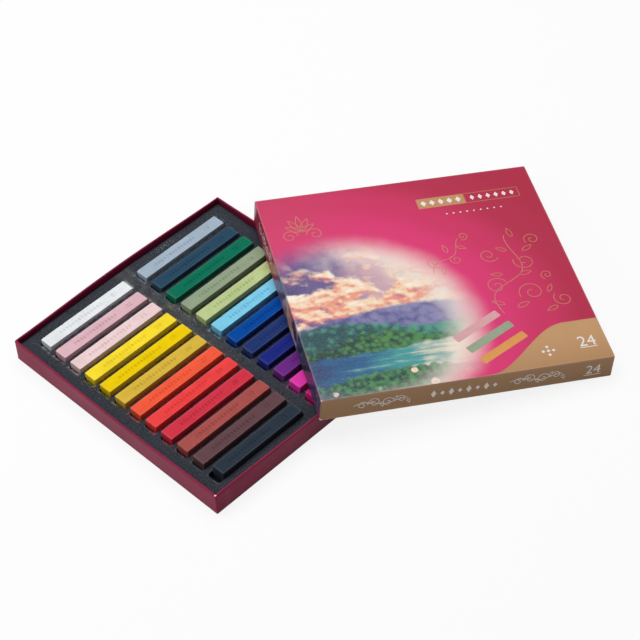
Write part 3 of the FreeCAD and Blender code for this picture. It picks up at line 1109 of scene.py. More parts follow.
@dataclass
class Tray:
    """The shallow tray: greyboard and covering paper, with bowed walls."""

    half: Pair = (98.0, 94.5)
    height: float = 18.0
    turn_in: float = 13.5
    bows: tuple[float, float, float, float] = (1.15, 0.85, 1.65, 2.05)
    flare: float = 0.45
    foot: float = 0.55
    paper: WornPaper = field(default_factory=WornPaper)

    def shell(self) -> FoldedShell:
        """The tray's folded form."""
        return FoldedShell(self.half, self.height, self.bows, self.flare, self.foot)

    def build(self, board: Material) -> None:
        """Make the covering paper and the greyboard.

        Args:
            board: The greyboard's finish.
        """
        form = self.shell()
        points, faces, highlight_and_shade, _ = form.sweep(form.paper_profile(self.turn_in, 0.1))
        (x, y), z = self.half, self.height
        wear = spots(
            points,
            (x - 0.1, -y + 0.1, z, 0.85, 0.9), (x - 0.2, -y + 0.1, z * 0.45, 2.2, 0.42),
            (x - 1.3, -y + 2.6, z, 0.6, 0.62), (x - 1.3, -y + 4.0, z, 0.6, 0.58),
            (x - 0.3, -y + 0.2, 0.3, 1.6, 0.6), (-x + 0.2, -y + 0.2, z, 0.9, 0.5),
            (-x + 0.1, 58.0, z, 0.8, 0.55), (x, 40.0, z, 0.7, 0.5),
        )
        wrap = make_object("tray_covering_paper", points * MM, faces, self.paper.make())
        paint_points(wrap, "highlight_and_shade", highlight_and_shade)
        paint_points(wrap, "wear", wear)
        add_piece(wrap, Body.TRAY.value, ["tray_wrap"])
        points, faces, _, _ = form.sweep(form.board_profile())
        core = make_object("tray_greyboard", points * MM, faces, board)
        add_piece(core, Body.TRAY.value, ["tray_board"])


# Foam


def hump(value: float, middle: float, width: float) -> float:
    """A bell shape: one at its middle, and about a third at its width from there."""
    return math.exp(-(((value - middle) / width) ** 2))


@dataclass
class FoamBed:
    """The die-cut foam with its 24 slots, and the plain foam under it, in millimetres."""

    tray: Tray  # the tray that they lie in
    half: Pair = (96.4, 92.9)  # half the foam's width and depth
    floor: float = 5.67  # height of the slotted sheet's lower face
    waist: float = 8.6  # height of the line round the middle of its edges
    face: float = 11.5  # height of its upper face before it sank
    columns: int = 12  # how many slots a row has
    pitch: float = 15.0  # distance between slots of a row
    row_spacing: float = 87.2  # distance between the rows' middles, and a cell's depth
    slot: Pair = (10.6, 77.9)  # width and depth of a slot
    slot_radius: float = 2.0  # radius of its corners
    cuts: tuple[int, int] = (6, 32)  # divisions along and up a cell's sides
    # Distance from the slot, and drop, of the points of its soft edge.
    lip: tuple[Pair, ...] = ((0.0, -0.25), (0.05, -0.1), (0.15, -0.03), (0.4, 0.0))
    base: Pair = (1.3, 5.63)  # heights of the plain sheet's faces

    def level(self, x: float, y: float) -> float:
        """Height of the foam's uneven face at a place.

        Args:
            x: Place from left to right.
            y: Place from front to back.

        Returns:
            The height.
        """
        lean = -0.75 * x / self.half[0] - 0.12 * y / self.half[1] - 0.35
        left_side = hump(x, -96, 32) * (1 - 0.8 * hump(y, -84, 16))
        left_front = hump(x, -97, 9) * hump(y, -80, 26)
        swell = noise.noise(Vector((x / 24, y / 24, 1.7)))
        ripple = noise.noise(Vector((x / 4, y / 4, 5.2)))
        return self.face + lean + 1.4 * left_side + left_front + 0.35 * swell + 0.1 * ripple

    def slot_ring(self) -> tuple[np.ndarray, np.ndarray]:
        """Points round a slot that match those round its cell, and their outward ways.

        Returns:
            The points and the directions.
        """
        points, outward = [], []
        radius = self.slot_radius
        for side in range(4):
            run, out = ways(side)
            straight, off = self.slot[side % 2] / 2 - radius, self.slot[1 - side % 2] / 2 - radius
            steps = self.cuts[side % 2]
            for k in range(steps):
                turn = math.radians(22.5 * (min(k - 2, 0) + max(k - steps + 2, 0)))
                way = out * math.cos(turn) + run * math.sin(turn)
                t = min(max(2 * (k - 2) / (steps - 4) - 1, -1), 1)
                points.append(run * straight * t + out * off + way * radius)
                outward.append(way)
        return np.array(points), np.array(outward)

    def cell_ring(self) -> np.ndarray:
        """Points round the cell that surrounds one slot, anticlockwise from the front left.

        Returns:
            The points.
        """
        half = (self.pitch / 2, self.row_spacing / 2)
        corners = np.array([(-1, -1), (1, -1), (1, 1), (-1, 1)]) * half
        points = []
        for side, (a, b) in enumerate(zip(corners, np.roll(corners, -1, axis=0))):
            steps = self.cuts[side % 2]
            points += [a + (b - a) * k / steps for k in range(steps)]
        return np.array(points)

    def build(self, top: Material, plain: Material) -> None:
        """Make both sheets of foam.

        Args:
            top: The dusty finish of the slotted sheet.
            plain: The finish of the sheet under it.
        """
        self.build_insert(top)
        self.build_base(plain)

    def add_cells(self, face: Heap) -> None:
        """Add all slots' soft edges, and the cells round them, to the upper face.

        Args:
            face: The upper face so far.
        """
        slot, outward = self.slot_ring()
        cell = self.cell_ring()
        wide = slot + outward * self.lip[-1][0]
        rings = [(slot + outward * out, drop) for out, drop in self.lip]
        rings += [(wide + (cell - wide) * 0.5, 0.0), (cell, 0.0)]
        for row in (-1, 1):
            for i in range(self.columns):
                middle = ((i - (self.columns - 1) / 2) * self.pitch, row * self.row_spacing / 2)
                points = []
                for ring, drop in rings:
                    points += [(x, y, self.level(x, y) + drop) for x, y in ring + middle]
                face.add(points, ring_faces(len(cell), len(rings)))

    def add_margins(self, face: Heap) -> None:
        """Add the upper face's border, from the cells to the rounded edge of the sheet.

        Args:
            face: The upper face so far.
        """
        margin = np.array([0.0, 0.25, 0.9, 2.4, 4.2])
        block = (self.pitch * self.columns / 2, self.row_spacing)
        steps = (self.columns * self.cuts[0], 2 * self.cuts[1])
        xs, ys = (
            np.concatenate([margin - half, np.linspace(-end, end, count + 1), half - margin[::-1]])
            for half, end, count in zip(self.half, block, steps)
        )
        points = []
        for y in ys:
            for x in xs:
                edge = min(self.half[0] - abs(x), self.half[1] - abs(y))
                points.append((x, y, self.level(x, y) - 0.35 * hump(edge, 0.0, 0.3)))
        faces = []
        for j, y in enumerate((ys[:-1] + ys[1:]) / 2):
            for i, x in enumerate((xs[:-1] + xs[1:]) / 2):
                if abs(x) > block[0] or abs(y) > block[1]:
                    a = j * len(xs) + i
                    faces.append((a, a + 1, a + len(xs) + 1, a + len(xs)))
        face.add(points, faces)

    def build_insert(self, finish: Material) -> None:
        """Make the slotted sheet.

        Args:
            finish: Its dusty finish.
        """
        face = Heap()
        self.add_cells(face)
        self.add_margins(face)
        sheet = bmesh.new()
        corners = [sheet.verts.new(p) for p in face.points]
        for polygon in face.faces:
            sheet.faces.new([corners[i] for i in polygon])
        loose = [v for v in sheet.verts if not v.link_faces]
        bmesh.ops.delete(sheet, geom=loose, context="VERTS")
        bmesh.ops.remove_doubles(sheet, verts=sheet.verts, dist=1e-3)
        sheet.verts.index_update()
        rim = [tuple(v.index for v in e.verts) for e in sheet.edges if e.is_boundary]
        upper, faces = read_out(sheet)
        upper = self.lean_on_walls(upper)
        total = len(upper)
        edge = dict.fromkeys(i for pair in rim for i in pair)
        named = {i: number for number, i in enumerate(edge, start=2 * total)}
        lower, waist = upper.copy(), upper[list(named)]
        lower[:, 2], waist[:, 2] = self.floor, self.waist
        faces += [tuple(i + total for i in f[::-1]) for f in faces]
        for a, b in rim:
            faces.append((b, a, named[a], named[b]))
            faces.append((named[b], named[a], a + total, b + total))
        points = np.vstack([upper, lower, waist]) * MM
        foam = make_object("slotted_foam", points, faces, finish, sharp_above=60)
        add_piece(foam, Body.TRAY.value, ["foam_insert"])

    def lean_on_walls(self, points: np.ndarray) -> np.ndarray:
        """Let the foam's edges follow the bowed walls.

        Args:
            points: Points of the foam's upper face.

        Returns:
            The moved points.
        """
        form = self.tray.shell()
        reach, depth, hold = 5.5, 11.0, 0.9  # from the wall, from the panel, share followed
        moved = points.copy()
        for side in range(4):
            run, out = ways(side)
            near = np.maximum(1 - (self.half[1 - side % 2] - points[:, :2] @ out) / reach, 0)
            along = points[:, :2] @ run / self.half[side % 2]
            push = form.bow(np.full(len(points), side), along, depth) + form.lean_out(depth)
            moved[:, :2] += np.outer(push * near * hold, out)
        return moved

    def build_base(self, finish: Material) -> None:
        """Make the plain sheet under the slots.

        Args:
            finish: Its finish.
        """
        low, high = self.base
        slab = bmesh.new()
        bmesh.ops.create_grid(slab, x_segments=48, y_segments=46, size=1)
        for v in slab.verts:
            x, y = v.co.x * self.half[0], v.co.y * self.half[1]
            v.co = (x, y, high - 0.05 + 0.05 * noise.noise(Vector((x / 9, y / 9, 0))))
        made = bmesh.ops.extrude_face_region(slab, geom=slab.faces[:])
        for v in [g for g in made["geom"] if isinstance(g, bmesh.types.BMVert)]:
            v.co.z = low
        points, faces = read_out(slab)
        foam = make_object("base_foam", points * MM, faces, finish)
        add_piece(foam, Body.TRAY.value, ["foam_base"])


# Sticks


def glyphs(text: str, height: float, depth: float) -> Solid:
    """Solid figures in the plain built-in letter shapes.

    Args:
        text: The figures.
        height: Height of a figure, in millimetres.
        depth: How thick the solid is, in millimetres.

    Returns:
        Points centred on the origin, and faces.
    """
    curve = bpy.data.curves.new("figures", "FONT")
    curve.body = text
    curve.size = height / 0.69
    curve.align_x = "CENTER"
    curve.extrude = depth / 2
    curve.resolution_u = 4
    holder = link("figures", curve)
    mesh = settled(holder)
    weld = bmesh.new()
    weld.from_mesh(mesh)
    bmesh.ops.remove_doubles(weld, verts=weld.verts, dist=1e-4)
    points, faces = read_out(weld)
    bpy.data.objects.remove(holder)
    bpy.data.curves.remove(curve)
    bpy.data.meshes.remove(mesh)
    points[:, 1] -= height / 2
    return points, faces


def prism(outline: Line, depth: float) -> Solid:
    """A flat outline made solid, with its middle at height nought.

    Args:
        outline: Its corners, anticlockwise.
        depth: How thick it is.

    Returns:
        Points and faces.
    """
    points = [(x, y, z) for z in (-depth / 2, depth / 2) for x, y in outline]
    return np.array(points), slab_faces(len(outline))


@dataclass
class Stick:
    """One pressed pastel stick, with a band of lozenges and a running number pressed in."""

    node: str  # the plain solid that it stands for
    number: int  # the running number
    finish: Chalk  # its colour
    foot_half: float = 4.7  # half its width at the foot, in millimetres like all the sizes here
    top_half: float = 5.1  # the same at its upper face
    tall: float = 10.0  # its height
    full_length: float = 74.5  # its length when new
    edge: float = 0.14  # how far its long edges are eased
    mark_depth: float = 0.2  # depth of the pressed marks
    figure_height: float = 3.4  # height of the number's figures

    def section(self) -> np.ndarray:
        """Points round the stick: x from its middle, and height from its foot.

        Returns:
            The points.
        """
        foot, top = (self.foot_half, 0.0), (self.top_half, self.tall)
        corners = np.array([foot, top, (-top[0], top[1]), (-foot[0], foot[1])])
        points = []
        for i, splits in enumerate((3, 9, 3, 3)):
            here, before, after = corners[i], corners[i - 1], corners[(i + 1) % 4]
            into = (before - here) / np.linalg.norm(before - here)
            onto = (after - here) / np.linalg.norm(after - here)
            for t in (0, 1 / 3, 2 / 3, 1):
                points.append(here + into * self.edge * (1 - t) ** 2 + onto * self.edge * t**2)
            leave, arrive = here + onto * self.edge, after - onto * self.edge
            points += [leave + (arrive - leave) * k / splits for k in range(1, splits)]
        return np.array(points)

    def rings(self, length: float) -> list[np.ndarray]:
        """Rings of points from the middle of the front end, along the stick, to the back end.

        Args:
            length: The stick's length.

        Returns:
            The rings, from the stick's front end and foot.
        """
        centre = np.array([0.0, self.tall / 2])
        section = self.section() - centre
        tucks = [(0.0, 0.12), (0.02, 0.06), (0.06, 0.02), (0.14, 0.0)]
        stations = tucks + [(y, 0.0) for y in np.linspace(0.45, length - 0.45, 52)[1:-1]]
        stations += [(length - y, tuck) for y, tuck in tucks[::-1]]
        rings = []
        for y, tuck in stations:
            x, z = (section * (1 - tuck / np.abs(section).max(axis=0)) + centre).T
            rings.append(np.column_stack([x, np.full(len(x), y), z]))
        caps = []
        for ring in (rings[0], rings[-1]):
            middle = ring.mean(axis=0)
            caps.append(middle + (ring - middle) * 0.55)
        return [caps[0], *rings, caps[1]]

    def build(self) -> None:
        """Make the stick over its plain solid."""
        low, high = (np.array(c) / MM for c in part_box(self.node))
        rng = random.Random(self.number * 7 + 3)
        middle = (low[0] + high[0]) / 2 + rng.uniform(-0.1, 0.1)
        foot = np.array([middle, low[1], low[2]])
        length = high[1] - low[1]
        rings = self.rings(length)
        count = len(rings[0])
        end = count * (len(rings) - 1)
        faces = ring_faces(count, len(rings))
        faces += [tuple(range(count)), tuple(range(end, end + count))[::-1]]
        solid = self.wear_down(np.vstack(rings), length, rng) + foot
        solid[:, 2] = np.clip(solid[:, 2], low[2], high[2])
        name = self.node.replace("pastel_", "stick_")
        piece = make_object(name, solid * MM, faces, self.finish.make())
        piece.data.materials.append(self.finish.make(shaded_recess=True))
        self.press_marks(piece, (middle, low[1], high[2]), self.full_length - length)
        corners = np.zeros(len(piece.data.vertices) * 3)
        piece.data.vertices.foreach_get("co", corners)
        paint_points(piece, "rub", self.rubbing(corners.reshape(-1, 3) / MM - foot, length))
        add_piece(piece, self.node, [self.node])

    def wear_down(self, points: np.ndarray, length: float, rng: random.Random) -> np.ndarray:
        """Roughen the faces a little and knock small chips off the long edges and corners.

        Args:
            points: The stick's points, from its front end and foot.
            length: Its length.
            rng: The stick's own random numbers.

        Returns:
            The moved points.
        """
        half, top = self.tall / 2, self.tall
        worn = points.copy()
        for i, (x, y, z) in enumerate(points):
            rough = noise.noise(Vector((x / 1.6, y / 3.5, z / 1.6 + self.number * 9)))
            worn[i] -= np.array(Vector((x, 0, z - half)).normalized()) * 0.022 * rough
        chips = []
        for _ in range(rng.randint(5, 8)):
            side = rng.choice((-1, 1))
            chips.append((side * self.top_half, rng.uniform(1, length - 1), rng.uniform(0.3, 0.8)))
        for y in (0.0, length):
            for side in (-1, 1):
                chips.append((side * self.top_half, y, rng.uniform(0.2, 0.9)))
            chips.append((rng.uniform(-4, 4), y, rng.uniform(0.3, 0.9)))
        for x, y, radius in chips:
            away = np.linalg.norm(points - (x, y, top), axis=1)
            depth = 0.34 * radius * np.clip(1 - away / radius, 0, 1) ** 1.2
            way = np.array([-x, np.clip(length / 2 - y, -4, 4), half - top])
            worn += depth[:, None] * way / np.linalg.norm(way)
        return worn

    def rubbing(self, points: np.ndarray, length: float) -> np.ndarray:
        """How near each point is to an edge, where loose dust lies.

        Args:
            points: The stick's points, from its front end and foot.
            length: Its length.

        Returns:
            From 0, well away from all edges, to 1.
        """
        x, y, z = points.T
        half = self.foot_half + (self.top_half - self.foot_half) * z / self.tall
        gaps = np.sort(np.stack([half - np.abs(x), self.tall - z, y, length - y]), axis=0)
        return np.clip(1 - gaps[1] / 0.9, 0, 1)

    def marks(self) -> Heap:
        """The pressed band and number as solids, along x from the new stick's front end.

        Returns:
            The solids.
        """
        marks = Heap()
        depth, first, pitch = 2 * self.mark_depth, 13.5, 2.75
        for k in range(14):
            s = first + pitch * k
            if k % 3 == 2:
                lines = [stroke((x, -1.3), (x, 1.3), 0.32) for x in (s - 0.62, s, s + 0.62)]
            else:
                lines = lozenge_ring(s, 1.05, 1.4, 0.42)
            for line in lines:
                marks.add(*prism(line, depth))
        points, faces = glyphs(f"{self.number:02d}", self.figure_height, depth)
        marks.add(points + (0.83 * self.full_length, 0.0, 0.0), faces)
        return marks

    def press_marks(self, piece: bpy.types.Object, start: Triple, worn_off: float) -> None:
        """Press the band and the number into the stick's upper face.

        Args:
            piece: The plain stick.
            start: Its middle, its front end and the height of its upper face.
            worn_off: How much its front end has lost.
        """
        marks = self.marks()
        along, across, over = np.array(marks.points).T
        x, front, top = start
        placed = np.column_stack([x - across, front + along - worn_off, top + over - 0.01])
        mesh = bpy.data.meshes.new("marks")
        mesh.from_pydata([tuple(p) for p in placed * MM], [], marks.faces)
        for material in piece.data.materials:
            mesh.materials.append(material)
        mesh.polygons.foreach_set("material_index", [1] * len(mesh.polygons))
        mesh.update()
        cutter = link("marks", mesh)
        press = piece.modifiers.new("press", "BOOLEAN")
        press.operation = "DIFFERENCE"
        press.solver = "EXACT"
        press.material_mode = "INDEX"
        press.object = cutter
        pressed = settled(piece)
        piece.modifiers.clear()
        plain = piece.data
        piece.data = pressed
        pressed.name = piece.name
        bpy.data.meshes.remove(plain)
        bpy.data.objects.remove(cutter)
        pressed.set_sharp_from_angle(angle=math.radians(35))


def stroke(start: Pair, end: Pair, width: float) -> Line:
    """The corners of a straight stroke of even width, anticlockwise.

    Args:
        start: Where it starts.
        end: Where it ends.
        width: How broad it is.

    Returns:
        The corners.
    """
    a, b = np.array(start), np.array(end)
    run = (b - a) / np.linalg.norm(b - a)
    side = np.array([-run[1], run[0]]) * width / 2
    return [tuple(a - side), tuple(b - side), tuple(b + side), tuple(a + side)]


def lozenge(u: float, v: float, half_width: float, half_height: float) -> Line:
    """The corners of a lozenge round its middle."""
    return [(u - half_width, v), (u, v - half_height), (u + half_width, v), (u, v + half_height)]


def lozenge_ring(s: float, half_width: float, half_height: float, width: float) -> list[Line]:
    """The four sides of a hollow lozenge, as shapes that don't overlap.

    Args:
        s: Its middle along the stick.
        half_width: Half its width.
        half_height: Half its height.
        width: How broad its sides are.

    Returns:
        The corners of each side.
    """
    share, gap = 1 - width / min(half_width, half_height), 0.03
    outer = np.array(lozenge(s, 0.0, half_width, half_height))
    inner = (outer - (s, 0.0)) * share + (s, 0.0)
    sides = []
    for i in range(4):
        k = (i + 1) % 4
        quad = np.array([outer[i], outer[k], inner[k], inner[i]])
        sides.append([tuple(c) for c in quad + (quad.mean(axis=0) - quad) * gap])
    return sides


def chalks(**colours: str) -> tuple[Chalk, ...]:
    """Chalk finishes from their names and written colours."""
    return tuple(Chalk(f"pastel_{name}", ink(written)) for name, written in colours.items())


FRONT_ROW = chalks(
    white="e8ecee", pink="dfb6c0", pale_pink="efd2d2", lemon_yellow="fade30",
    chrome_yellow="f0ce00", ochre="dcb83f", vermilion="f75d3e", scarlet="f14445",
    crimson="d63649", brick_brown="aa524e", maroon_brown="64464b", charcoal="2b3642",
)
BACK_ROW = chalks(
    pale_grey_blue="a4b5c5", dark_blue_grey="28485f", dark_green="077056", sage="93a487",
    lime="bdce90", sky_blue="7ecfed", blue="00489e", indigo="21366f",
    ultramarine="1b287e", violet="6d2984", magenta_pink="e93aae", deep_rose="d81a80",
)


@dataclass
class Crumbs:
    """Crumbs of chalk that lie on the foam beside the sticks."""

    bed: FoamBed  # the foam
    reach: Pair = (95.2, 91.7)  # how far from the middle they may lie, in millimetres
    clear: float = 0.4  # how far they keep from a slot
    seed: int = 11  # start of the random numbers

    def off_the_face(self, x: float, y: float) -> bool:
        """Whether a place is in a slot or beyond the foam.

        Args:
            x: Place from left to right.
            y: Place from front to back.

        Returns:
            The answer.
        """
        bed = self.bed
        beside = abs(x % bed.pitch - bed.pitch / 2) - bed.slot[0] / 2
        before = abs(abs(y) - bed.row_spacing / 2) - bed.slot[1] / 2
        in_block = abs(x) < bed.pitch * bed.columns / 2 - 1
        in_slot = in_block and max(beside, before) < self.clear
        return in_slot or abs(x) > self.reach[0] or abs(y) > self.reach[1]

    def build(self) -> None:
        """Scatter the crumbs in heaps: middle, width, depth, number and colour of each."""
        heaps = (
            (-93.4, 38.0, 2.6, 17.0, 170, "c4d0da"), (-84.0, 86.2, 7.0, 2.0, 30, "c4d0da"),
            (-46.0, 1.1, 5.0, 1.6, 60, "e8d23c"), (-37.5, -3.4, 6.0, 2.0, 24, "e8d23c"),
            (-56.4, 2.2, 4.0, 2.6, 110, "2f8a66"), (-34.0, 1.6, 12.0, 3.0, 90, "877a35"),
            (-92.0, -84.0, 5.0, 3.0, 24, "9ea4ae"), (-91.5, -40.0, 4.0, 60.0, 40, "a9aeb6"),
            (-36.0, -84.8, 16.0, 2.4, 44, "d8c83e"), (30.0, -85.0, 40.0, 2.4, 26, "c05a50"),
            (60.0, -1.0, 40.0, 4.0, 30, "8a5a60"), (0.0, 0.0, 110.0, 5.0, 110, "a9a6a4"),
            (-45.0, -45.0, 1.5, 60.0, 24, "e0c6c6"), (-64.0, 3.0, 10.0, 2.4, 26, "7f95a6"),
        )
        rng = random.Random(self.seed)
        made = bpy.data.meshes.new("chalk_crumbs")
        work = bmesh.new()
        for number, (x, y, wide, deep, count, colour) in enumerate(heaps):
            made.materials.append(FlatInk(f"chalk_dust_{number}", ink(colour), 0.9).make())
            for _ in range(count):
                px, py = x + rng.gauss(0, wide / 2), y + rng.gauss(0, deep / 2)
                size = rng.choice((0.05, 0.06, 0.07, 0.08, 0.1, 0.12, 0.17))
                if self.off_the_face(px, py):
                    continue
                lump = bmesh.ops.create_icosphere(work, subdivisions=1, radius=size * MM)
                for v in lump["verts"]:
                    v.co *= 1 + 0.35 * noise.noise(v.co * 4000 + Vector((px, py, 0)))
                    v.co += Vector((px, py, self.bed.level(px, py) + size * 0.35)) * MM
                for f in {f for v in lump["verts"] for f in v.link_faces}:
                    f.material_index = number
        work.to_mesh(made)
        work.free()
        add_piece(link("chalk_crumbs", made), Body.TRAY.value)


# Lid


@dataclass
class Lid:
    """The lid, which leans with its left wall on the tray and its right rim on the table."""

    size: Pair = (200.0, 193.0)  # outer width and depth, in millimetres like all the sizes here
    height: float = 18.8  # from its rim to its panel
    wall: float = 1.4  # thickness of its walls
    turn_in: float = 12.0  # how far its paper reaches down inside
    turn: float = 58.36  # degrees that it is turned by on the table
    tray_height: float = 18.0  # height of the rim that it leans on
    rim_middle: Triple = (21.25, 44.06, 18.177)  # where the middle of its left rim is
    paper: LidPrint = field(default_factory=LidPrint)  # its printed sheet

    def place(self, points: np.ndarray) -> np.ndarray:
        """Move points from the lid's own space, panel up and left edge at nought, to the box's.

        Args:
            points: Points in millimetres.

        Returns:
            The points in metres, in the box's frame.
        """
        slope = self.tray_height / (self.size[0] - self.wall)
        level, turn = math.sqrt(1 - slope * slope), math.radians(self.turn)
        right = np.array([level * math.cos(turn), level * math.sin(turn), -slope])
        back = np.array([-math.sin(turn), math.cos(turn), 0.0])
        return (points @ np.array([right, back, np.cross(right, back)]) + self.rim_middle) * MM

    def unfold(self, u: float, v: float, lift: float) -> Triple:
        """A place on the unfolded sheet, in the lid's own space.

        Args:
            u: Distance from the panel's left edge; less than nought on the left wall.
            v: Distance from its middle line; beyond half the depth on the front wall.
            lift: Height over the paper.

        Returns:
            The point, in millimetres.
        """
        edge = -self.size[1] / 2
        if v < edge:
            return (u, edge - lift, self.height - (edge - v))
        if u < 0:
            return (-lift, v, self.height + u)
        return (u, v, self.height + lift)

    def build(self) -> None:
        """Make the lid's paper and its printed ornaments."""
        half = (self.size[0] / 2, self.size[1] / 2)
        form = FoldedShell(half, self.height, (0.04, 0.05, 0.05, 0.04), wall=self.wall)
        points, faces, highlight_and_shade, sheet = form.sweep(form.paper_profile(self.turn_in, 1.0))
        local = points * (1, 1, -1) + (half[0], 0, self.height)
        wear = spots(
            local,
            (0.4, -96.2, 0.4, 2.0, 0.9), (0.3, -96.3, 9.0, 1.6, 0.5), (6.0, -96.4, 0.1, 1.4, 0.7),
            (0.4, -96.2, 18.6, 1.2, 0.72), (0.4, 96.2, 18.6, 1.2, 0.65),
            (0.1, -58.0, 0.2, 1.3, 0.75), (199.6, 96.2, 18.6, 1.0, 0.6),
            (199.5, -96.0, 18.5, 1.2, 0.65), (199.6, -96.2, 0.4, 1.8, 0.7),
        )
        wrap = make_object("lid_covering_paper", self.place(local), faces, self.paper.make())
        paint_points(wrap, "highlight_and_shade", highlight_and_shade)
        paint_points(wrap, "wear", wear)
        paint_points(wrap, "sheet", (sheet + (half[0], 0, 0)) * MM)
        add_piece(wrap, Body.LID.value, ["lid_wrap"])
        self.build_ornaments()

    def print_on(self, name: str, points: Sequence[Triple], faces: Faces, finish: Material) -> None:
        """Lay printed solids on the sheet as one piece.

        Args:
            name: The piece's name.
            points: Places on the unfolded sheet, and their height over the paper.
            faces: Point numbers of each face.
            finish: Their ink.
        """
        local = np.array([self.unfold(u, v, lift) for u, v, lift in points])
        add_piece(make_object(name, self.place(local), faces, finish), Body.LID.value)

    def strips(self, name: str, lines: Sequence[tuple[Line, float]], finish: Material) -> None:
        """Lay thin printed lines on the sheet.

        Args:
            name: The piece's name.
            lines: Each line's points on the unfolded sheet, and its width.
            finish: Their ink.
        """
        heap = Heap()
        for path, width in lines:
            track = np.array(path)
            ahead = np.gradient(track, axis=0)
            ahead /= np.maximum(np.linalg.norm(ahead, axis=1, keepdims=True), 1e-9)
            across = np.stack([-ahead[:, 1], ahead[:, 0]], axis=1) * width / 2
            points = []
            for p, side in zip(track, across):
                for way, lift in ((-1, -0.02), (1, -0.02), (1, 0.035), (-1, 0.035)):
                    points.append((*(p + side * way), lift))
            end = len(points) - 4
            faces = ring_faces(4, len(track)) + [(3, 2, 1, 0), (end, end + 1, end + 2, end + 3)]
            heap.add(points, faces)
        self.print_on(name, heap.points, heap.faces, finish)

    def plates(
        self, name: str, outlines: Sequence[Line], finish: Material, over: float = 0.03
    ) -> None:
        """Lay flat printed shapes on the sheet.

        Args:
            name: The piece's name.
            outlines: Corners of each shape on the unfolded sheet.
            finish: Their ink.
            over: Height of their upper faces over the paper.
        """
        heap = Heap()
        for outline in outlines:
            points = [(u, v, lift) for lift in (-0.02, over) for u, v in outline]
            heap.add(points, slab_faces(len(outline)))
        self.print_on(name, heap.points, heap.faces, finish)

    def figures(self, name: str, text: str, height: float, middle: Pair, finish: Material) -> None:
        """Print a plain number on the sheet.

        Args:
            name: The piece's name.
            text: The number.
            height: Height of its figures.
            middle: Its middle on the unfolded sheet.
            finish: Its ink.
        """
        points, faces = glyphs(text, height, 0.05)
        self.print_on(name, points + (*middle, 0.01), faces, finish)

    def build_ornaments(self) -> None:
        """Print the vine, the plate, the colour bars and the plain numbers."""
        gold = FlatInk("gold_ink", ink("c08a58"), 0.34).make()
        white = FlatInk("white_ink", ink("efe9e4"), 0.34).make()
        self.strips("gold_vine", self.vine(), gold)
        self.plates("gold_plate", [[(112, 66.3), (146.6, 66.3), (146.6, 76.2), (112, 76.2)]], gold)
        self.plates("white_lozenges", self.lozenges(), white, over=0.06)
        self.strips("white_scrolls", self.scrolls(), white)
        self.figures("count_on_panel", "24", 8.8, (186.0, -79.0), white)
        self.figures("count_on_wall", "24", 7.6, (186.0, -105.8), white)
        bars = (("d9a0a4", 118, -52), ("8fa083", 124, -63), ("dd9440", 130, -74))
        for number, (written, u, v) in enumerate(bars, start=1):
            finish = FlatInk(f"colour_bar_ink_{number}", ink(written), 0.36).make()
            self.plates(f"colour_bar_{number}", [rounded_bar(u, v, 40, 6.2, 28)], finish)

    def vine(self) -> list[tuple[Line, float]]:
        """The gold vine, a spray of leaves and a frame: points and width of each line.

        Returns:
            The lines.
        """
        curls = (
            (143, -18, 8.0, 1, 20), (165, -28, 9.5, -1, 200), (169, 2, 8.0, 1, 160),
            (146, 12, 7.0, -1, 330), (181, 22, 6.0, -1, 210), (107, 12, 5.5, -1, 300),
            (123, 12, 4.5, 1, 120), (134, 34, 4.0, 1, 240), (184, -38, 7.0, 1, 130),
            (180, -14, 4.5, -1, 240), (16, 56, 6.0, 1, 0), (34, 56, 6.0, -1, 180),
        )
        leaves = (
            (143, -36, 150, 9), (151, -40, 20, 10), (150, -8, 170, 8), (162, -10, 10, 9),
            (160, 14, 150, 8), (171, 12, 30, 9), (168, 27, 100, 9), (112, 6, 260, 7),
            (119, 20, 100, 8), (127, 25, 330, 7), (176, -30, 60, 8), (178, -44, 200, 9),
        )
        lines = [(stem((140, -44), (170, 26), 8.0), 0.45), (stem((104, 2), (132, 30), 3.0), 0.4)]
        lines += [(curl((u, v), *rest), 0.42) for u, v, *rest in curls]
        lines += [(leaf((u, v), way, size, size * 0.38), 0.4) for u, v, way, size in leaves]
        spray = ((30, 12), (60, 14), (90, 16), (120, 14), (150, 12))
        lines += [(leaf((25, 60), angle, length, 4.2), 0.42) for angle, length in spray]
        frame_corners = [(147, 66.5), (187, 66.5), (187, 76), (147, 76), (147, 66.5)]
        return lines + [(along_line(frame_corners, 2.0), 0.35)]

    def lozenges(self) -> list[Line]:
        """The white lozenges and two short bars on the panel and the front wall.

        Returns:
            Their corners.
        """
        shapes = [lozenge(116.5 + 6.4 * k, 71.2, 2.1, 2.9) for k in range(5)]
        shapes += [lozenge(152.5 + 5.9 * k, 71.2, 1.7, 2.5) for k in range(6)]
        shapes += [lozenge(130 + 5.0 * k, 58.0, 0.8, 0.8) for k in range(9)]
        for k in range(8):
            shapes.append(lozenge(76 + 6.0 * k, -106.2, 1.9 - 0.3 * (k % 2), 3.4 - 1.4 * (k % 2)))
        for a, b in ((-1, 0), (1, 0), (0, -1), (0, 1), (0, 0)):
            shapes.append(lozenge(158 + 3.6 * a, -83 + 3.6 * b, 1.3, 1.3))
        return shapes + [stroke((180.0, v), (192.0, v), 0.6) for v in (-84.6, -111.0)]

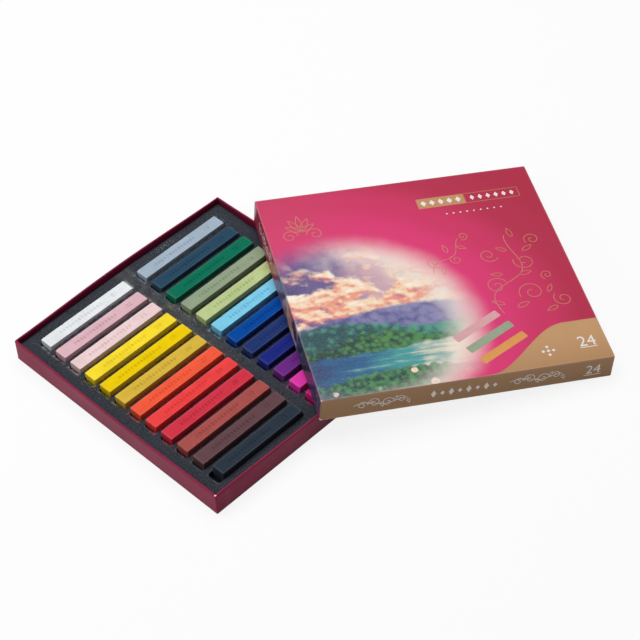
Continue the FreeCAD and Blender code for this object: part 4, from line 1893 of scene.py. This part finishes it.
    def scrolls(self) -> list[tuple[Line, float]]:
        """The white scrolls on the front and left walls: points and width of each line.

        Returns:
            The lines.
        """
        lines, row = [], -106.2
        for first in (28, 134):
            lines.append((stem((first - 6, row), (first + 30, row), 1.6), 0.55))
            for across, radius, way in ((0, 3.6, 1), (8, 4.4, -1), (17, 4.4, 1), (26, 3.4, -1)):
                u = first + across
                lines.append((curl((u, row - way * 0.6), radius, way, 90 - 90 * way), 0.5))
                lines.append((leaf((u + 4.4, row), 70 * way, 4.6, 1.8), 0.45))
        for k, v in enumerate((46, 56, 66, 76)):
            lines.append((curl((-8.8, v), 4.6, 1 if k % 2 else -1, 40), 0.5))
        for k, v in enumerate((51, 61, 71)):
            lines.append((leaf((-8.8, v), 60 if k % 2 else 240, 5.0, 1.8), 0.45))
        return lines


def turned(base: Pair, angle: float, x: float, y: float) -> Pair:
    """A point counted along and across a direction in degrees, from a base.

    Args:
        base: The base.
        angle: The direction.
        x: Distance along it.
        y: Distance across it.

    Returns:
        The point.
    """
    turn = math.radians(angle)
    cos, sin = math.cos(turn), math.sin(turn)
    return (base[0] + x * cos - y * sin, base[1] + x * sin + y * cos)


def stem(start: Pair, end: Pair, sway: float) -> Line:
    """A long line that sways from side to side between two places.

    Args:
        start: Where it starts.
        end: Where it ends.
        sway: How far it sways.

    Returns:
        Its points.
    """
    a, b = np.array(start, float), np.array(end, float)
    run = b - a
    side = np.array([-run[1], run[0]]) / np.linalg.norm(run) * sway
    places = np.linspace(0, 1, 90)
    return [tuple(a + run * t + side * math.sin(t * math.tau * 1.25)) for t in places]


def curl(centre: Pair, radius: float, way: int, start: float) -> Line:
    """A spiral that closes in on its centre.

    Args:
        centre: Its middle.
        radius: Its outer radius.
        way: 1 anticlockwise, -1 clockwise.
        start: Direction of its outer end from the middle, in degrees.

    Returns:
        Its points.
    """
    swing, closing = 360 * 1.35 * way, 0.82
    places = np.linspace(0, 1, 60)
    return [turned(centre, start + swing * t, radius * (1 - closing * t), 0.0) for t in places]


def leaf(base: Pair, angle: float, length: float, width: float) -> Line:
    """The closed outline of a pointed leaf that grows from its base at an angle in degrees.

    Args:
        base: Where it grows.
        angle: Its direction.
        length: Its length.
        width: Its width.

    Returns:
        Its points.
    """
    half = [(t, width / 2 * math.sin(math.pi * t**0.8)) for t in np.linspace(0, 1, 21)]
    there_and_back = half + [(t, -y) for t, y in half[-2::-1]]
    return [turned(base, angle, t * length, y) for t, y in there_and_back]


def along_line(corners: Line, step: float) -> Line:
    """Points every few millimetres along straight runs.

    Args:
        corners: Ends of the runs.
        step: Distance between points.

    Returns:
        The points.
    """
    points = []
    for a, b in zip(corners, corners[1:]):
        count = max(2, int(math.dist(a, b) / step))
        shares = [k / count for k in range(count)]
        points += [(a[0] + (b[0] - a[0]) * t, a[1] + (b[1] - a[1]) * t) for t in shares]
    return points + [corners[-1]]


def rounded_bar(u: float, v: float, length: float, width: float, angle: float) -> Line:
    """The outline of a bar with soft corners round its middle, turned by an angle in degrees.

    Args:
        u: Its middle.
        v: The same, towards the back.
        length: Its length.
        width: Its width.
        angle: The angle.

    Returns:
        Its points.
    """
    radius, points = 1.0, []
    for sx, sy, first in ((1, -1, -90), (1, 1, 0), (-1, 1, 90), (-1, -1, 180)):
        corner = (sx * (length / 2 - radius), sy * (width / 2 - radius))
        for k in range(4):
            points.append(turned((u, v), angle, *turned(corner, first + 30 * k, radius, 0.0)))
    return points


# Studio


def seen_directly(tree: bpy.types.NodeTree) -> Socket:
    """One for rays from the camera, in reflections and through glass, and nought for the rest.

    Args:
        tree: Nodes of a finish or of the world.

    Returns:
        The share.
    """
    path = tree.nodes.new("ShaderNodeLightPath")
    total: Socket = path.outputs["Is Camera Ray"]
    for name in ("Is Glossy Ray", "Is Transmission Ray"):
        either = tree.nodes.new("ShaderNodeMath")
        either.operation = "MAXIMUM"
        tree.links.new(total, either.inputs[0])
        tree.links.new(path.outputs[name], either.inputs[1])
        total = either.outputs[0]
    return total


@dataclass
class Studio:
    """A white table, soft light from above and a long lens."""

    camera_at: Triple = (713.976, -576.474, 1002.771)  # the camera's place, in millimetres
    right: Triple = (0.714832, 0.698214, -0.03889)  # its picture's direction to the right
    down: Triple = (0.490805, -0.540546, -0.683316)  # its picture's direction downwards
    forward: Triple = (-0.498122, 0.469369, -0.729087)  # the way that it looks
    lens: float = 112.48  # its focal length on a sensor of the named width, in millimetres
    sensor: float = 36.0  # that width
    ambient: float = 0.12  # strength of the even light on the object
    table_shade: float = 0.8  # lightness of the table as the object's light sees it
    table_glow: float = 0.86  # share of the table that the camera sees as plain white
    table_half: float = 4.0  # half the table's width, in metres

    def build(self) -> None:
        """Set up the camera, the lamps, the world and the table."""
        scene = bpy.context.scene
        data = bpy.data.cameras.new("camera")
        data.lens, data.sensor_width, data.clip_end = self.lens, self.sensor, 20.0
        camera = link("camera", data)
        up, back = ([-v for v in way] for way in (self.down, self.forward))
        axes = Matrix((self.right, up, back)).transposed().to_4x4()
        axes.translation = Vector(self.camera_at) * MM
        camera.matrix_world = axes
        scene.camera = camera
        self.lamp("overhead", (-0.35, 0.15, 1.5), aim=(0, 0.03, 0), size=(1.5, 1.2), watts=22.0)
        self.lamp("front_fill", (-0.6, -1.25, 0.85), aim=(0, 0, 0), size=(1.0, 1.0), watts=6.5)
        self.surround()
        self.table()
        scene.view_settings.view_transform = "Standard"

    def lamp(self, name: str, where: Triple, aim: Triple, size: Pair, watts: float) -> None:
        """Hang a soft rectangular lamp.

        Args:
            name: Its name.
            where: Its place, in metres.
            aim: The point that it faces.
            size: Its width and depth.
            watts: Its power.
        """
        data = bpy.data.lights.new(name, "AREA")
        data.shape, data.size, data.size_y, data.energy = "RECTANGLE", *size, watts
        lamp = link(name, data)
        lamp.location = where
        lamp.rotation_euler = (Vector(where) - Vector(aim)).to_track_quat("Z", "Y").to_euler()

    def surround(self) -> None:
        """White to the camera and in reflections, and a dimmer even light on the object."""
        world = bpy.data.worlds.new("studio")
        world.use_nodes = True
        bpy.context.scene.world = world
        tree = world.node_tree
        background = tree.nodes["Background"]
        strength = tree.nodes.new("ShaderNodeMapRange")
        strength.inputs["To Min"].default_value = self.ambient
        tree.links.new(seen_directly(tree), strength.inputs[0])
        tree.links.new(strength.outputs[0], background.inputs["Strength"])
        background.inputs["Color"].default_value = (1, 1, 1, 1)

    def table(self) -> None:
        """A wide white table that keeps the object's shadow."""
        bench = NodeBench("white_table")
        grain = bench.grain(bench.place(), 60, 2)
        white = bench.mix(grain, ink("f7f7f7"), ink("f9f9f9"))
        seen = seen_directly(bench.tree)
        grey = (*[self.table_shade] * 3, 1)
        bench.finish(Base_Color=bench.mix(seen, grey, white), Roughness=0.7, Specular_IOR_Level=0.0)
        glow = bench.add("Emission", (1, 1, 1, 1), 1.0).outputs[0]
        share = bench.times(seen, self.table_glow)
        blend = bench.add("MixShader", share, bench.surface.outputs[0], glow)
        bench.feed(bench.output.inputs["Surface"], blend.outputs[0])
        r = self.table_half
        mesh = bpy.data.meshes.new("table_top")
        mesh.from_pydata([(-r, -r, 0), (r, -r, 0), (r, r, 0), (-r, r, 0)], [], [(0, 1, 2, 3)])
        mesh.materials.append(bench.material)
        link("table_top", mesh)


def dress_nodes(board: Material) -> None:
    """Give the plain solids that stay in view their board and tape finishes.

    Args:
        board: The greyboard's finish.
    """
    tape = KraftTape().make()
    finishes = {"lid_board": board, "lid_corner_stays": tape, "tray_corner_stays": tape}
    for name, finish in finishes.items():
        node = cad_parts[name]
        node.data.materials.clear()
        node.data.materials.append(finish)
        log.info("%s keeps its solid, with finish %s", name, finish.name)


def main() -> None:
    """Build the box piece by piece, then the studio."""
    logging.basicConfig(level=logging.INFO, format="%(name)s: %(message)s")
    board = Greyboard().make()
    tray = Tray()
    tray.build(board)
    bed = FoamBed(tray)
    front, back = (tuple(stick.colour for stick in row) for row in (FRONT_ROW, BACK_ROW))
    bed.build(DustyFoam("foam_top", front=front, back=back).make(), DustyFoam("foam_base").make())
    number = 0
    for row, sticks in ((Row.FRONT, FRONT_ROW), (Row.BACK, BACK_ROW)):
        for place, finish in enumerate(sticks, start=1):
            number += 1
            Stick(f"pastel_{row.value}_{place:02d}", number, finish).build()
    Crumbs(bed).build()
    Lid().build()
    dress_nodes(board)
    Studio().build()


if __name__ == "__main__":
    main()
